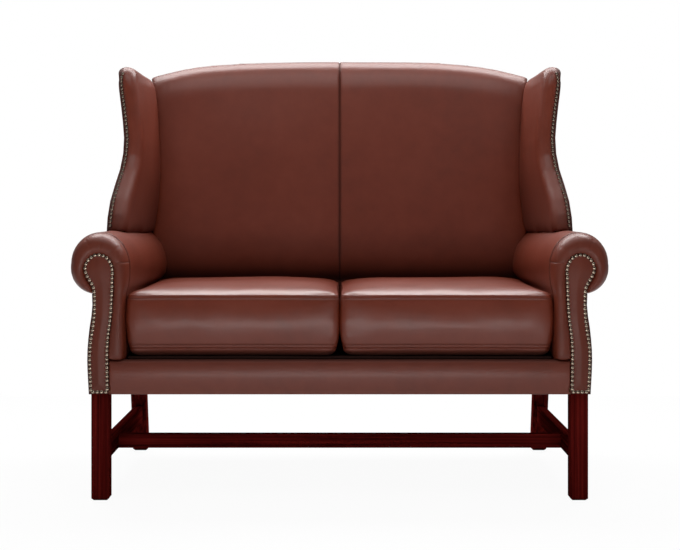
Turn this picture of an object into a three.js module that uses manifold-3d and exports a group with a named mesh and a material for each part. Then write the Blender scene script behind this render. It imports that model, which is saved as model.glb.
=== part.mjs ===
// A two-seat high back settee: raked back, wings, scrolled arms and two loose box cushions on a
// hardwood frame with square legs and an H stretcher. Millimetres; X runs along the seat, Y to
// the back and Z up. Depths are measured back from the front faces of the front legs, and the
// finished model is moved so that its origin is at the middle of its footprint.
import * as THREE from "three";
import { mergeVertices } from "three/addons/utils/BufferGeometryUtils.js";
import Module from "manifold-3d";

const wasm = await Module();
wasm.setup();

// Gaps
const gap = 0.3; // between pieces that touch
const runningGap = 0.8; // round the loose cushions
const overrun = 400; // how far a cutting shape runs past what it cuts

// Legs and stretchers
const legSpread = 1215; // over the outer faces
const legSize = 43; // square
const legEase = 1.5; // on the long corners
const footEase = 5; // round the foot
const rearLegDepth = 603; // to the front of the rear leg, below the seat
const rearFootKick = 66; // how far the rear foot steps back
const stretcherThickness = 22;
const stretcherRise = 91; // floor to the undersides
const sideStretcherHeight = 45;
const crossStretcherHeight = 36;
const crossStretcherDepth = 210; // to its front face

// Seat frame
const railTop = 338; // above the floor
const railHeight = 74;
const leatherDrop = 4; // of the leather below the rails
const railThickness = 28;
const sideRailInset = 19.5; // outer face of the leg to the outer face of the side rail
const blockLeg = 52; // of the triangular corner blocks
const blockNose = 6;
const blockHeight = 50;
const blockDrop = 14; // rail top to block top
const springWire = 3.4;
const springSwing = 24;
const springsPerSeat = 3;
const springTurns = 9;
const springSteps = 36;
const deckThickness = 13;
const dustCoverThickness = 1.4;
const dustCoverInset = 4;

// Back frame
const postDrop = 21; // wing top to the top of the rear leg's upright
const postWidth = 33.5; // of the upright part of the rear leg
const postShoulder = 8; // where the leg narrows to the upright
const backSlopeShare = 0.17; // depth gained per height
const lowerRailRise = 42; // seat rail top to the lower back rail
const lowerRailHeight = 50;
const topRailDrop = 89; // wing top to the bottom of the top rail
const topPadding = 25; // leather and wadding over the top rail
const strapWidth = 50;
const strapThickness = 2;
const strapRoom = 3; // for the straps, in front of the posts

// Arms
const armInset = 18.5; // outer face of the leg to the scroll's centre
const scrollHeight = 580; // scroll centre above the floor
const scrollReach = 72; // scroll centre to its outermost point
const scrollRise = 75; // scroll centre to its top
const rearScrollReach = 60; // the same at the back end
const innerRollDrop = 8; // scroll centre to its innermost point, at the front
const rearInnerReach = 93; // how far the arm swells over the seat at the back
const rearRollDrop = 35; // the same, at the back
const rollFootDrop = 74; // scroll centre to where the roll meets the upright inner face
const neckInset = 3.5; // outer face of the leg to the narrow neck under the scroll
const bellySwell = 13; // of the belly beyond the neck
const seatInset = 81.5; // outer face of the leg to the inner face of the arm
const skirtThickness = 41; // of the padded inner face
const rollBulge = 15; // of the roll in front of the legs
const armPanelThickness = 6;
const armPanelLap = 1.8; // over the edge of the facing
const armPostThickness = 30;
const armPostInset = 3; // inside the nail line
const armBoardWidth = 38;
const armBoardThickness = 22;
const armBoardLift = 2; // scroll centre to its top
const facingThickness = 6.5;
const facingMargin = 5.2; // outside the nail line

// Wings
const wingInset = 0.5; // outer face of the leg to the widest part
const wingSetBack = 363; // depth of the front edge at the top
const wingThickness = 46; // at the front edge
const wingFootDrop = 20; // scroll centre to where the wing starts, inside the arm
const wingRollWidth = 16; // of the rounded top, across
const wingRollHeight = 34; // and up
const wingEdgeRound = 14; // of the front edge
const wingPanelThickness = 7;
const wingPanelDrop = 25; // wing top to the top of the outside panel
const wingPanelSetBack = 12; // behind the front edge
const wingPostWidth = 20;
const wingPostDepth = 36;
const wingPostSetBack = 22; // behind the front edge
const wingPostInset = 17; // inside the outer surface
const wingPostDrop = 37; // wing top to the top of its post
const wingRailHeight = 34;

// Inside and outside back
const backHeight = 1149.5; // floor to the middle of the top
const crestDrop = 48.5; // how far the top falls to the wings
const backInset = 45.5; // outer face of the leg to the inside back, at the wings' tops
const insideBackPadding = 38; // in front of the rear legs, at the seat
const insideBackRise = 162; // rail top to where its face starts to lean
const faceSlopeShare = 0.208;
const backRoll = 46; // radius of the rounded top, in front
const backCrease = 7; // how far the face turns in at its sides
const outsideBackThickness = 8;
const outsideBackDrop = 27; // wing top to the top of the outside back

// Front border and cushions
const borderRise = 7; // of the front border over the rails
const borderLip = 11.5; // depth of its turned top edge
const cushionFront = 4; // depth of the front of the cushions
const cushionRoom = 5.4; // top seam to the foot of the arm's roll
const cushionSeamRise = 20; // bottom to the bottom seam
const cushionCrown = 26;
const cushionTopInset = 4; // of the top seam from the fullest part
const cushionFootInset = 8; // of the bottom seam
const cushionUnderInset = 26; // of the flat bottom
const cushionCorner = 15; // corner radius, in plan
const cushionDrawIn = 3; // of the sides between the corners

// Nails
const nailPitch = 10.4;
const nailWidth = 9;
const nailHeight = 2.6;
const nailNeckWidth = 3;
const nailNeckHeight = 1.2;
const wingNailDrop = 17; // wing top to the highest nail
const wingNailRise = 9; // arm top to the lowest nail

// Sizes that follow
const legOuter = legSpread / 2;
const legInner = legOuter - legSize;
const railBottom = railTop - railHeight;
const legShown = railBottom - leatherDrop; // floor to the bottom of the leather
const deckTop = railTop + gap + deckThickness;
const borderTop = railTop + borderRise;
const armCentre = legOuter - armInset;
const armTop = scrollHeight + scrollRise;
const armBoardTop = scrollHeight + armBoardLift;
const rollFoot = scrollHeight - rollFootDrop;
const seatHalf = legOuter - seatInset;
const neckHalf = legOuter - neckInset;
const wingHalf = legOuter - wingInset;
const wingTop = backHeight - crestDrop;
const wingFoot = scrollHeight - wingFootDrop;
const wingPanelTop = wingTop - wingPanelDrop;
const wingPostTop = wingTop - wingPostDrop;
const postOuter = legInner + postWidth;
const postTop = wingTop - postDrop;
const topRailBottom = wingTop - topRailDrop;
const outsideBackTop = wingTop - outsideBackDrop;
const backHalf = legOuter - backInset;
const insideBackDepth = rearLegDepth - insideBackPadding; // to its face at the seat
const insideBackBend = railTop + insideBackRise;
const cushionEdge = rollFoot - cushionRoom;
const rearOuter = postOuter + gap + wingPanelThickness;
const neckHeight = scrollHeight - scrollRise + 2 * gap;

// Outline of the arm's side from the leather's lower edge (0) to the neck (1); 0 is the neck's
// width and 1 the belly's.
const bellyShares = [[0, 0.7], [0.36, 1], [0.62, 0.66], [0.85, 0.05], [1, 0.1]];
// Front edge of the wing from the arm's top (0) to its own top (1), as shares of wingSetBack.
const wingFrontShares = [
  [-0.2, 0.53], [0, 0.56], [0.08, 0.59], [0.16, 0.65], [0.24, 0.735], [0.32, 0.83], [0.4, 0.905],
  [0.48, 0.95], [0.56, 0.965], [0.75, 0.98], [1, 1],
];
// Outer surface of the wing at its front edge, as shares of half the wings' spread.
const wingOuterShares = [
  [-0.2, 1], [0, 1], [0.08, 0.999], [0.16, 0.996], [0.24, 0.989], [0.32, 0.978], [0.4, 0.969],
  [0.48, 0.964], [0.56, 0.963], [0.7, 0.973], [0.8, 0.983], [0.92, 0.994], [1, 0.995],
];
// Side of the inside back from the deck (0) to the wings' tops (1), as shares of its half width.
const backSideShares = [
  [0, 0.97], [0.33, 0.97], [0.42, 0.961], [0.52, 0.944], [0.61, 0.936], [0.75, 0.943],
  [0.87, 0.957], [0.95, 0.975], [1, 1], [1.1, 1],
];
// Fall of the crest from the middle (0) to the wing (1), as shares of crestDrop.
const crestShares = [[0, 0], [0.3, 0.03], [0.55, 0.11], [0.71, 0.27], [0.81, 0.46], [0.9, 0.71], [1, 1]];
// Nail line of the arm's facing, up the outer side, over the scroll and down the inner side:
// across in shares of scrollReach from the scroll's centre, and up in shares of the height from
// the leather's lower edge to the scroll's centre.
const nailLineShares = [
  [0.245, 0.022], [0.262, 0.12], [0.285, 0.27], [0.264, 0.386], [0.181, 0.505], [0.13, 0.62],
  [0.122, 0.75], [0.16, 0.82], [0.27, 0.865], [0.4, 0.92], [0.44, 0.965], [0.37, 1.015],
  [0.16, 1.058], [-0.03, 1.066], [-0.25, 1.05], [-0.42, 1], [-0.478, 0.945], [-0.472, 0.89],
  [-0.444, 0.72], [-0.403, 0.58], [-0.325, 0.44], [-0.292, 0.31], [-0.3, 0.15], [-0.306, 0.022],
];
// Front edge of the padded wing, from its outer side round to its inner side: shares of its
// rounding, across from the side and back from the front.
const wingOuterEdgeShares = [[0, 1], [0.2, 0.45], [0.9, 0]];
const wingInnerEdgeShares = [[1, 0], [0.25, 0.35], [0, 1]];
// Sides of a cushion from its bottom to its top seam: share of the way up from the lower seam
// to the upper one, and shares of the lower and upper seams' insets.
const cushionSideShares = [[0, 1, 0], [0.2, 0.35, 0], [0.5, 0, 0], [0.8, 0, 0.35], [1, 0, 1]];
const cushionCrownShares = [0.93, 0.82, 0.64, 0.42]; // of its half width and half depth
// Front rounding of the arm: share of the way in to its core, and share of the roll's bulge in
// front of the legs, from the face to the side.
const armFrontShares = [[0.42, 1], [0.31, 0.96], [0.19, 0.6], [0.09, -0.2], [0, -1.7]];

// Middles of the back's straps, from the lower rail (0) to the top rail (1).
const strapShares = [0.12, 0.43, 0.74];

// Smooth value at t in a table of places and shares.
function along(table, t) {
  const last = table.length - 1;
  if (t <= table[0][0]) return table[0][1];
  if (t >= table[last][0]) return table[last][1];
  let k = 0;
  while (t > table[k + 1][0]) k += 1;
  const slope = (i) => {
    const [low, high] = [Math.max(i - 1, 0), Math.min(i + 1, last)];
    return (table[high][1] - table[low][1]) / (table[high][0] - table[low][0]);
  };
  const span = table[k + 1][0] - table[k][0];
  const s = (t - table[k][0]) / span;
  const [from, to] = [table[k][1], table[k + 1][1]];
  const rise = s * s * (3 - 2 * s);
  const bend = span * (s * (1 - s) * (1 - s) * slope(k) - s * s * (1 - s) * slope(k + 1));
  return from + (to - from) * rise + bend;
}

// The places of the main surfaces.
const frameFront = (h) => rearLegDepth + Math.max(0, h - railTop) * backSlopeShare;
const frameRear = (h) => frameFront(h) + legSize;
const outerBack = (h) => frameRear(h) + gap + outsideBackThickness;
const insideFace = (h) => insideBackDepth + Math.max(0, h - insideBackBend) * faceSlopeShare;
const crest = (u) => backHeight - crestDrop * along(crestShares, Math.abs(u) / backHalf);
const backSide = (h) => backHalf * along(backSideShares, (h - deckTop) / (wingTop - deckTop));
const wingShare = (h) => (h - armTop) / (wingTop - armTop);
const wingFront = (h) => wingSetBack * along(wingFrontShares, wingShare(h));
const wingEdge = (h) => wingHalf * along(wingOuterShares, wingShare(h));
const rearKick = (h) => rearFootKick * Math.max(0, 1 - h / legShown);
const armSide = (h) => {
  const share = along(bellyShares, (h - legShown) / (neckHeight - legShown));
  return neckHalf + bellySwell * share;
};
// Outer surface of the wing at a height and a depth.
function wingOuter(h, d) {
  const share = (d - wingFront(h)) / (frameRear(h) - wingFront(h));
  return THREE.MathUtils.lerp(wingEdge(h), rearOuter, THREE.MathUtils.clamp(share, 0, 1));
}

// A closed body through rings of points, each with as many points as the next. Its two ends are
// filled in the way that fits the rings in endsLike, so that like bodies have like ends.
function loft(rings, closed = false, endsLike = [rings[0], rings[rings.length - 1]]) {
  const count = rings[0].length;
  const index = [];
  const steps = closed ? rings.length : rings.length - 1;
  for (let r = 0; r < steps; r += 1) {
    const next = (r + 1) % rings.length;
    for (let c = 0; c < count; c += 1) {
      const d = (c + 1) % count;
      index.push(r * count + c, r * count + d, next * count + d);
      index.push(r * count + c, next * count + d, next * count + c);
    }
  }
  if (!closed) {
    const top = (rings.length - 1) * count;
    for (const [a, b, c] of capFaces(endsLike[0])) index.push(c, b, a);
    for (const [a, b, c] of capFaces(endsLike[1])) index.push(top + a, top + b, top + c);
  }
  const geometry = new THREE.BufferGeometry().setFromPoints(rings.flat());
  geometry.setIndex(index);
  return facingOut(geometry);
}

// Triangles that close a ring, in the ring's own direction.
function capFaces(ring) {
  const normal = new THREE.Vector3();
  ring.forEach((p, i) => normal.add(p.clone().cross(ring[(i + 1) % ring.length])));
  const size = [Math.abs(normal.x), Math.abs(normal.y), Math.abs(normal.z)];
  const drop = size.indexOf(Math.max(...size));
  const keep = [["y", "z"], ["z", "x"], ["x", "y"]][drop];
  const flat = ring.map((p) => new THREE.Vector2(p[keep[0]], p[keep[1]]));
  const turned = THREE.ShapeUtils.isClockWise(flat);
  const faces = THREE.ShapeUtils.triangulateShape(turned ? flat.reverse() : flat, []);
  const last = ring.length - 1;
  return turned ? faces.map(([a, b, c]) => [last - c, last - b, last - a]) : faces;
}

// The same body with its faces turned outwards, whichever way its rings ran.
function facingOut(geometry) {
  const place = geometry.getAttribute("position");
  const corners = geometry.index.array;
  const at = (i) => new THREE.Vector3().fromBufferAttribute(place, corners[i]);
  let volume = 0;
  for (let i = 0; i < corners.length; i += 3) volume += at(i).dot(at(i + 1).cross(at(i + 2)));
  if (volume < 0) corners.reverse();
  return geometry;
}

// Between a geometry and a solid that can be cut and joined.
function solid(geometry) {
  let merged = geometry;
  if (geometry.getAttribute("uv")) {
    const bare = geometry.clone();
    bare.deleteAttribute("normal");
    bare.deleteAttribute("uv");
    merged = mergeVertices(bare);
  }
  return new wasm.Manifold(
    new wasm.Mesh({
      numProp: 3,
      vertProperties: merged.getAttribute("position").array,
      triVerts: new Uint32Array(merged.index.array),
    }),
  );
}

function bodyOf(made) {
  const { vertProperties, triVerts } = made.getMesh();
  const geometry = new THREE.BufferGeometry();
  geometry.setAttribute("position", new THREE.BufferAttribute(new Float32Array(vertProperties), 3));
  geometry.setIndex(new THREE.BufferAttribute(new Uint32Array(triVerts), 1));
  return geometry;
}

function cut(geometry, ...tools) {
  return bodyOf(tools.reduce((left, tool) => left.subtract(solid(tool)), solid(geometry)));
}

// A box between two corners.
function block(low, high) {
  const size = high.map((value, i) => value - low[i]);
  const box = new THREE.BoxGeometry(...size);
  return box.translate(...low.map((value, i) => value + size[i] / 2));
}

// A square-cornered or eased rectangle in plan, at height h.
function planRing(uLow, uHigh, dLow, dHigh, h, ease) {
  const corners = [
    [uLow + ease, dLow], [uHigh - ease, dLow], [uHigh, dLow + ease], [uHigh, dHigh - ease],
    [uHigh - ease, dHigh], [uLow + ease, dHigh], [uLow, dHigh - ease], [uLow, dLow + ease],
  ];
  return corners.map(([u, d]) => new THREE.Vector3(u, d, h));
}

// A plate with the outline [[across, up], ...], from one depth to another.
function plateAcross(outline, dFront, dRear) {
  return loft([dFront, dRear].map((d) => outline.map(([u, h]) => new THREE.Vector3(u, d, h))));
}

// A plate with the side outline [[depth, up], ...], from one place across to another.
function plateAlong(outline, uLow, uHigh) {
  return loft([uLow, uHigh].map((u) => outline.map(([d, h]) => new THREE.Vector3(u, d, h))));
}

// An outline moved outwards by a distance, or inwards if it is negative.
function offset(outline, distance) {
  const flat = outline.map(([x, y]) => new THREE.Vector2(x, y));
  const way = THREE.ShapeUtils.isClockWise(flat) ? -1 : 1;
  return flat.map((p, i) => {
    const before = flat[(i + flat.length - 1) % flat.length];
    const after = flat[(i + 1) % flat.length];
    const a = p.clone().sub(before).normalize();
    const b = after.clone().sub(p).normalize();
    const out = new THREE.Vector2(a.y + b.y, -a.x - b.x).normalize();
    const stretch = Math.max(out.dot(new THREE.Vector2(b.y, -b.x)), Math.SQRT1_2);
    return [p.x + (out.x * way * distance) / stretch, p.y + (out.y * way * distance) / stretch];
  });
}

// Materials
const finish = (color, roughness, metalness = 0) => () =>
  new THREE.MeshStandardMaterial({ color, roughness, metalness });
const leather = finish(0x6b3027, 0.42);
const mahogany = finish(0x3c0d0b, 0.3);
const beech = finish(0xc49a6a, 0.7);
const steel = finish(0x8a8d90, 0.4, 0.9);
const antiqueBrass = finish(0x7d6436, 0.35, 0.9);
const webbing = finish(0x3a3733, 0.9);
const blackCloth = finish(0x191718, 0.95);
const platformCloth = finish(0x3b1d18, 0.9);

// The settee and its two halves: what is made for the right side is mirrored for the left.
const settee = new THREE.Group();
const halves = { left: new THREE.Group(), right: new THREE.Group() };
halves.left.scale.x = -1;
settee.add(halves.left, halves.right);

function place(name, geometry, material, parent = settee) {
  const mesh = new THREE.Mesh(geometry, material());
  mesh.name = name;
  parent.add(mesh);
  return mesh;
}

function placePair(name, geometry, material) {
  for (const [side, half] of Object.entries(halves)) {
    place(`${name}_${side}`, geometry, material, half);
  }
}

// Front legs: straight and square, up to the top of the rails.
const frontLeg = loft([
  planRing(legInner + footEase, legOuter - footEase, footEase, legSize - footEase, 0, legEase),
  planRing(legInner, legOuter, 0, legSize, footEase, legEase),
  planRing(legInner, legOuter, 0, legSize, railTop, legEase),
]);
placePair("front_leg", frontLeg, mahogany);

// Rear legs: raked below the seat, upright behind it and leaning back above it, in one piece.
function rearRing(h, outer, inset = 0) {
  const front = frameFront(h) + rearKick(h);
  return planRing(legInner + inset, outer - inset, front + inset, front + legSize - inset, h, legEase);
}
const rearLeg = loft([
  rearRing(0, legOuter, footEase),
  rearRing(footEase, legOuter),
  rearRing(legShown, legOuter),
  rearRing(railTop, legOuter),
  rearRing(railTop + postShoulder, postOuter),
  rearRing(postTop, postOuter),
]);
placePair("rear_leg", rearLeg, mahogany);

// Side stretchers, cut to the rake of the rear legs, and the cross stretcher between them.
const stretcherMiddle = legOuter - legSize / 2;
const sideStretcherTop = stretcherRise + sideStretcherHeight;
const rearFace = (h) => rearLegDepth + rearKick(h) - gap;
const sideStretcher = plateAlong(
  [
    [legSize + gap, stretcherRise],
    [rearFace(stretcherRise), stretcherRise],
    [rearFace(sideStretcherTop), sideStretcherTop],
    [legSize + gap, sideStretcherTop],
  ],
  stretcherMiddle - stretcherThickness / 2,
  stretcherMiddle + stretcherThickness / 2,
);
placePair("side_stretcher", sideStretcher, mahogany);

const crossHalf = stretcherMiddle - stretcherThickness / 2 - gap;
const crossRear = crossStretcherDepth + stretcherThickness;
const crossStretcher = block(
  [-crossHalf, crossStretcherDepth, stretcherRise],
  [crossHalf, crossRear, stretcherRise + crossStretcherHeight],
);
place("cross_stretcher", crossStretcher, mahogany);

// Seat rails between the legs, with a middle rail from front to back.
const railHalf = legInner - gap;
const rearRailRear = rearLegDepth + railThickness;
place("front_rail", block([-railHalf, 0, railBottom], [railHalf, railThickness, railTop]), beech);
const rearRail = block([-railHalf, rearLegDepth, railBottom], [railHalf, rearRailRear, railTop]);
place("rear_rail", rearRail, beech);

const sideRailOuter = legOuter - sideRailInset;
const sideRailInner = sideRailOuter - railThickness;
const sideRail = block(
  [sideRailInner, legSize + gap, railBottom],
  [sideRailOuter, rearLegDepth - gap, railTop],
);
placePair("side_rail", sideRail, beech);

const railBack = railThickness + gap; // just behind the front rail
const railReach = rearLegDepth - gap; // just in front of the rear rail
const centreRail = block(
  [-railThickness / 2, railBack, railBottom],
  [railThickness / 2, railReach, railTop],
);
place("centre_rail", centreRail, beech);

// Corner blocks, glued into the corners of the rails.
function cornerBlock(depth, way) {
  const inner = Math.min(sideRailInner, legInner) - gap;
  const plan = [
    [inner, depth], [inner, depth + way * blockLeg], [inner - blockNose, depth + way * blockLeg],
    [inner - blockLeg, depth + way * blockNose], [inner - blockLeg, depth],
  ];
  const heights = [railTop - blockDrop - blockHeight, railTop - blockDrop];
  return loft(heights.map((h) => plan.map(([u, d]) => new THREE.Vector3(u, d, h))));
}
placePair("front_corner_block", cornerBlock(railBack, 1), beech);
placePair("rear_corner_block", cornerBlock(railReach, -1), beech);

// Zigzag springs from the front rail to the rear rail, level with the rail tops.
const springSection = new THREE.Shape(
  [0, 1, 2, 3].map((k) => {
    const turn = (k * Math.PI) / 2;
    return new THREE.Vector2(Math.cos(turn), Math.sin(turn)).multiplyScalar(springWire / 2);
  }),
);
function zigzagSpring(across) {
  const points = [];
  const straight = springWire;
  const run = railReach - railBack - 2 * straight;
  const height = railTop - springWire / 2;
  points.push(new THREE.Vector3(across, railBack, height));
  for (let k = 0; k <= springSteps; k += 1) {
    const share = k / springSteps;
    const swing = springSwing * Math.sin(share * springTurns * 2 * Math.PI);
    points.push(new THREE.Vector3(across + swing, railBack + straight + run * share, height));
  }
  points.push(new THREE.Vector3(across, railReach, height));
  const rings = points.map((p, i) => {
    const before = points[Math.max(i - 1, 0)];
    const after = points[Math.min(i + 1, points.length - 1)];
    const ahead = after.clone().sub(before).normalize();
    const aside = new THREE.Vector3(ahead.y, -ahead.x, 0);
    return springSection.getPoints().slice(0, 4).map(({ x, y }) => {
      const ring = p.clone().addScaledVector(aside, x);
      ring.z += y;
      return ring;
    });
  });
  return loft(rings);
}
const springRoom = (seatHalf - railThickness / 2) / springsPerSeat;
for (let k = 0; k < springsPerSeat; k += 1) {
  const across = railThickness / 2 + springRoom * (k + 1 / 2);
  placePair(`seat_spring_${k + 1}`, zigzagSpring(across), steel);
}

// Deck over the springs and the black cloth under the rails.
const deckHalf = seatHalf - gap;
const deck = block([-deckHalf, borderLip + gap, railTop + gap], [deckHalf, rearRailRear, deckTop]);
place("seat_deck", deck, platformCloth);

const coverTop = railBottom - gap;
const dustCover = block(
  [-sideRailOuter, dustCoverInset, coverTop - dustCoverThickness],
  [sideRailOuter, rearRailRear - dustCoverInset, coverTop],
);
const legRoom = (front) =>
  block([legInner - gap, front - gap, 0], [legOuter + gap, front + legSize + gap, railTop + gap]);
const mirrored = (geometry) => facingOut(geometry.clone().scale(-1, 1, 1));
const frontLegRoom = legRoom(0);
const rearLegRoom = legRoom(rearLegDepth);
place(
  "dust_cover",
  cut(dustCover, frontLegRoom, rearLegRoom, mirrored(frontLegRoom), mirrored(rearLegRoom)),
  blackCloth,
);

// Back frame: lower rail, curved top rail and centre post between the rear legs' uprights. All lean.
function leaning(outline, dNear, dFar) {
  const ring = (depth) => outline.map(([u, h]) => new THREE.Vector3(u, frameFront(h) + depth, h));
  return loft([ring(dNear), ring(dFar)]);
}
const lowerRailBottom = railTop + lowerRailRise;
const lowerRailTop = lowerRailBottom + lowerRailHeight;
const lowerRailOutline = [
  [-railHalf, lowerRailBottom], [railHalf, lowerRailBottom],
  [railHalf, lowerRailTop], [-railHalf, lowerRailTop],
];
place("back_lower_rail", leaning(lowerRailOutline, 0, railThickness), beech);

const backShares = [0.06, 0.2, 0.36, 0.52, 0.64, 0.74, 0.83, 0.91, 0.97, 1]; // of the half width
const topRailCurve = backShares.map((share) => {
  const under = crest(share * backHalf) - topPadding;
  return [share * backSide(under), under - gap];
});
const topRailEnd = [railHalf, crest(backHalf) - topPadding - gap];
const topRailHalf = [...topRailCurve, topRailEnd, [railHalf, topRailBottom]];
const topRailOutline = [...topRailHalf, ...topRailHalf.map(([u, h]) => [-u, h]).reverse()];
place("back_top_rail", leaning(topRailOutline, 0, railThickness), beech);

const postLow = lowerRailTop + gap;
const postHigh = topRailBottom - gap;
const postHalf = railThickness / 2;
const centrePostOutline = [
  [-postHalf, postLow], [postHalf, postLow], [postHalf, postHigh], [-postHalf, postHigh],
];
place("back_centre_post", leaning(centrePostOutline, 0, railThickness), beech);

// Elastic webbing across the back, tacked to the fronts of the uprights.
const strapRooms = [];
strapShares.forEach((share, k) => {
  const height = THREE.MathUtils.lerp(lowerRailTop, topRailBottom, share);
  const [low, high] = [height - strapWidth / 2, height + strapWidth / 2];
  const outline = [[-postOuter, low], [postOuter, low], [postOuter, high], [-postOuter, high]];
  place(`back_strap_${k + 1}`, leaning(outline, -gap - strapThickness, -gap), webbing);
  strapRooms.push(leaning(offset(outline, gap), -strapRoom, 0));
});

// Inside back: two padded halves sewn at the middle, rolled over the top rail. Each ring is a
// side view of the pad, from its foot up the face, over the crest and down behind the rail.
const rollSteps = 6;
function insideBackRing(share, grow) {
  const top = crest(share * backHalf);
  const side = Math.abs(2 * share - 1) ** 8; // 0 in the middle of a half and 1 at its edges
  const face = (h) => insideFace(h) + backCrease * side - grow;
  const foot = deckTop + gap - grow;
  const spring = top - backRoll;
  const levels = [foot, insideBackBend];
  for (const part of [1 / 4, 1 / 2, 3 / 4]) {
    levels.push(THREE.MathUtils.lerp(insideBackBend, spring, part));
  }
  const points = levels.map((h) => [face(h), h]);
  const flap = outsideBackTop + gap;
  const rearRoll = Math.min(backRoll, top - flap - 2 * gap);
  const rear = outerBack(top - rearRoll) + grow;
  const [middle, reach] = [(rear + face(spring)) / 2, (rear - face(spring)) / 2];
  for (let k = 0; k <= rollSteps; k += 1) {
    const turn = (k / rollSteps) * Math.PI;
    const drop = turn < Math.PI / 2 ? backRoll : rearRoll;
    points.push([middle - reach * Math.cos(turn), top - drop + (drop + grow) * Math.sin(turn)]);
  }
  const under = top - topPadding - grow;
  points.push([outerBack(flap) + grow, flap], [frameRear(flap) + gap, flap]);
  points.push([frameFront(under) + railThickness + gap, under]);
  points.push([frameFront(under) - strapRoom + grow, under]);
  for (const h of levels.reverse()) points.push([frameFront(h) - strapRoom + grow, h]);
  return points.map(([d, h]) => new THREE.Vector3(share * (backSide(h) + grow), d, h));
}
function insideBack(grow) {
  const shares = [gap / 2 / backHalf, ...backShares];
  const ends = [shares[0], 1].map((share) => insideBackRing(share, 0));
  return loft(shares.map((share) => insideBackRing(share, grow)), false, ends);
}
placePair("inside_back", insideBack(0), leather);
const backRooms = [insideBack(gap), insideBack(0)];

// Outside back: one stiffened panel down the back of the frame.
const outsideBackHalf = postOuter - gap;
function outsideBackRing(u) {
  const levels = [legShown, railTop, outsideBackTop];
  const near = levels.map((h) => new THREE.Vector3(u, frameRear(h) + gap, h));
  const far = levels.map((h) => new THREE.Vector3(u, outerBack(h), h));
  return [...near, ...far.reverse()];
}
const outsideBackShares = [-1, -0.5, 0, 0.5, 1];
const outsideBack = loft(outsideBackShares.map((share) => outsideBackRing(share * outsideBackHalf)));
place("outside_back", outsideBack, leather);

// Spaces that upholstery leaves free: the back frame, and all that lies behind the outside back.
function behind(surface, uHigh, hTop, room) {
  const outline = [
    [surface(0) - room, 0], [surface(railTop) - room, railTop], [surface(hTop) - room, hTop],
    [surface(hTop) + overrun, hTop], [surface(0) + overrun, 0],
  ];
  return plateAlong(outline, 0, uHigh);
}
const frameRoom = behind(frameFront, postOuter + gap, postTop + 2 * gap, strapRoom);
const rearRoom = behind(outerBack, postOuter + overrun, wingTop + overrun, 0);

// Arm facing: the padded panel on the front of the arm, with its nail line.
const nailLineCurve = new THREE.SplineCurve(
  nailLineShares.map(([across, up]) => {
    const height = legShown + up * (scrollHeight - legShown);
    return new THREE.Vector2(armCentre + across * scrollReach, height);
  }),
);
const facingSteps = 56;
const nailLine = nailLineCurve.getSpacedPoints(facingSteps).map((p) => [p.x, p.y]);
const facingOutline = (margin) => offset(nailLine, margin);
const facingBack = -gap;
const facingFront = facingBack - facingThickness;
placePair("arm_facing", plateAcross(facingOutline(facingMargin), facingFront, facingBack), leather);
const facingRoom = plateAcross(facingOutline(facingMargin + gap), -overrun, gap / 2);

// Front post of the arm: stands on the front leg and carries the scroll.
const aboveLeg = block([0, -overrun, railTop + gap], [legSpread, overrun, wingTop]);
function armPostBody(room) {
  const plate = plateAcross(facingOutline(room - armPostInset), -room, armPostThickness + room);
  return bodyOf(solid(plate).intersect(solid(aboveLeg)));
}
placePair("arm_post", armPostBody(0), beech);
const armPostRoom = plateAcross(facingOutline(gap - armPostInset), -gap, armPostThickness + gap);

// Arm board: runs back inside the scroll, from the front post to the rear leg.
const armBoardBottom = armBoardTop - armBoardThickness;
const armBoardRear = frameFront(armBoardBottom) - gap;
function armBoard(room) {
  const middle = armCentre - gap;
  return block(
    [middle - armBoardWidth / 2 - room, armPostThickness + gap - room, armBoardBottom - room],
    [middle + armBoardWidth / 2 + room, armBoardRear + room, armBoardTop + room],
  );
}
placePair("arm_board", cut(armBoard(0), ...strapRooms), beech);

// Front post of the wing, standing on the arm board, and its top rail back to the rear leg.
const wingPostFoot = armBoardTop + gap;
function wingPost(room, reach = 0) {
  const rings = [];
  const steps = 10;
  for (let k = 0; k <= steps; k += 1) {
    const level = THREE.MathUtils.lerp(wingPostFoot, wingPostTop, k / steps);
    const outer = Math.min(wingEdge(level) - wingPostInset, armCentre + armBoardWidth / 2);
    const front = wingFront(level) + wingPostSetBack;
    const h = level + (k === steps ? room : 0);
    const low = outer - wingPostWidth - room;
    rings.push(planRing(low, outer + room + reach, front - room, front + wingPostDepth + room, h, gap));
  }
  return loft(rings);
}
placePair("wing_post", wingPost(0), beech);

function wingRail(room, reach = 0) {
  const outer = wingEdge(wingPostTop) - wingPostInset;
  const bottom = wingPostTop - wingRailHeight;
  const front = wingFront(wingPostTop) + wingPostSetBack + wingPostDepth + gap;
  return block(
    [outer - wingPostWidth - room, front - room, bottom - room],
    [outer + room + reach, frameFront(bottom) - gap + room, wingPostTop + room],
  );
}
placePair("wing_rail", wingRail(0), beech);

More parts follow.
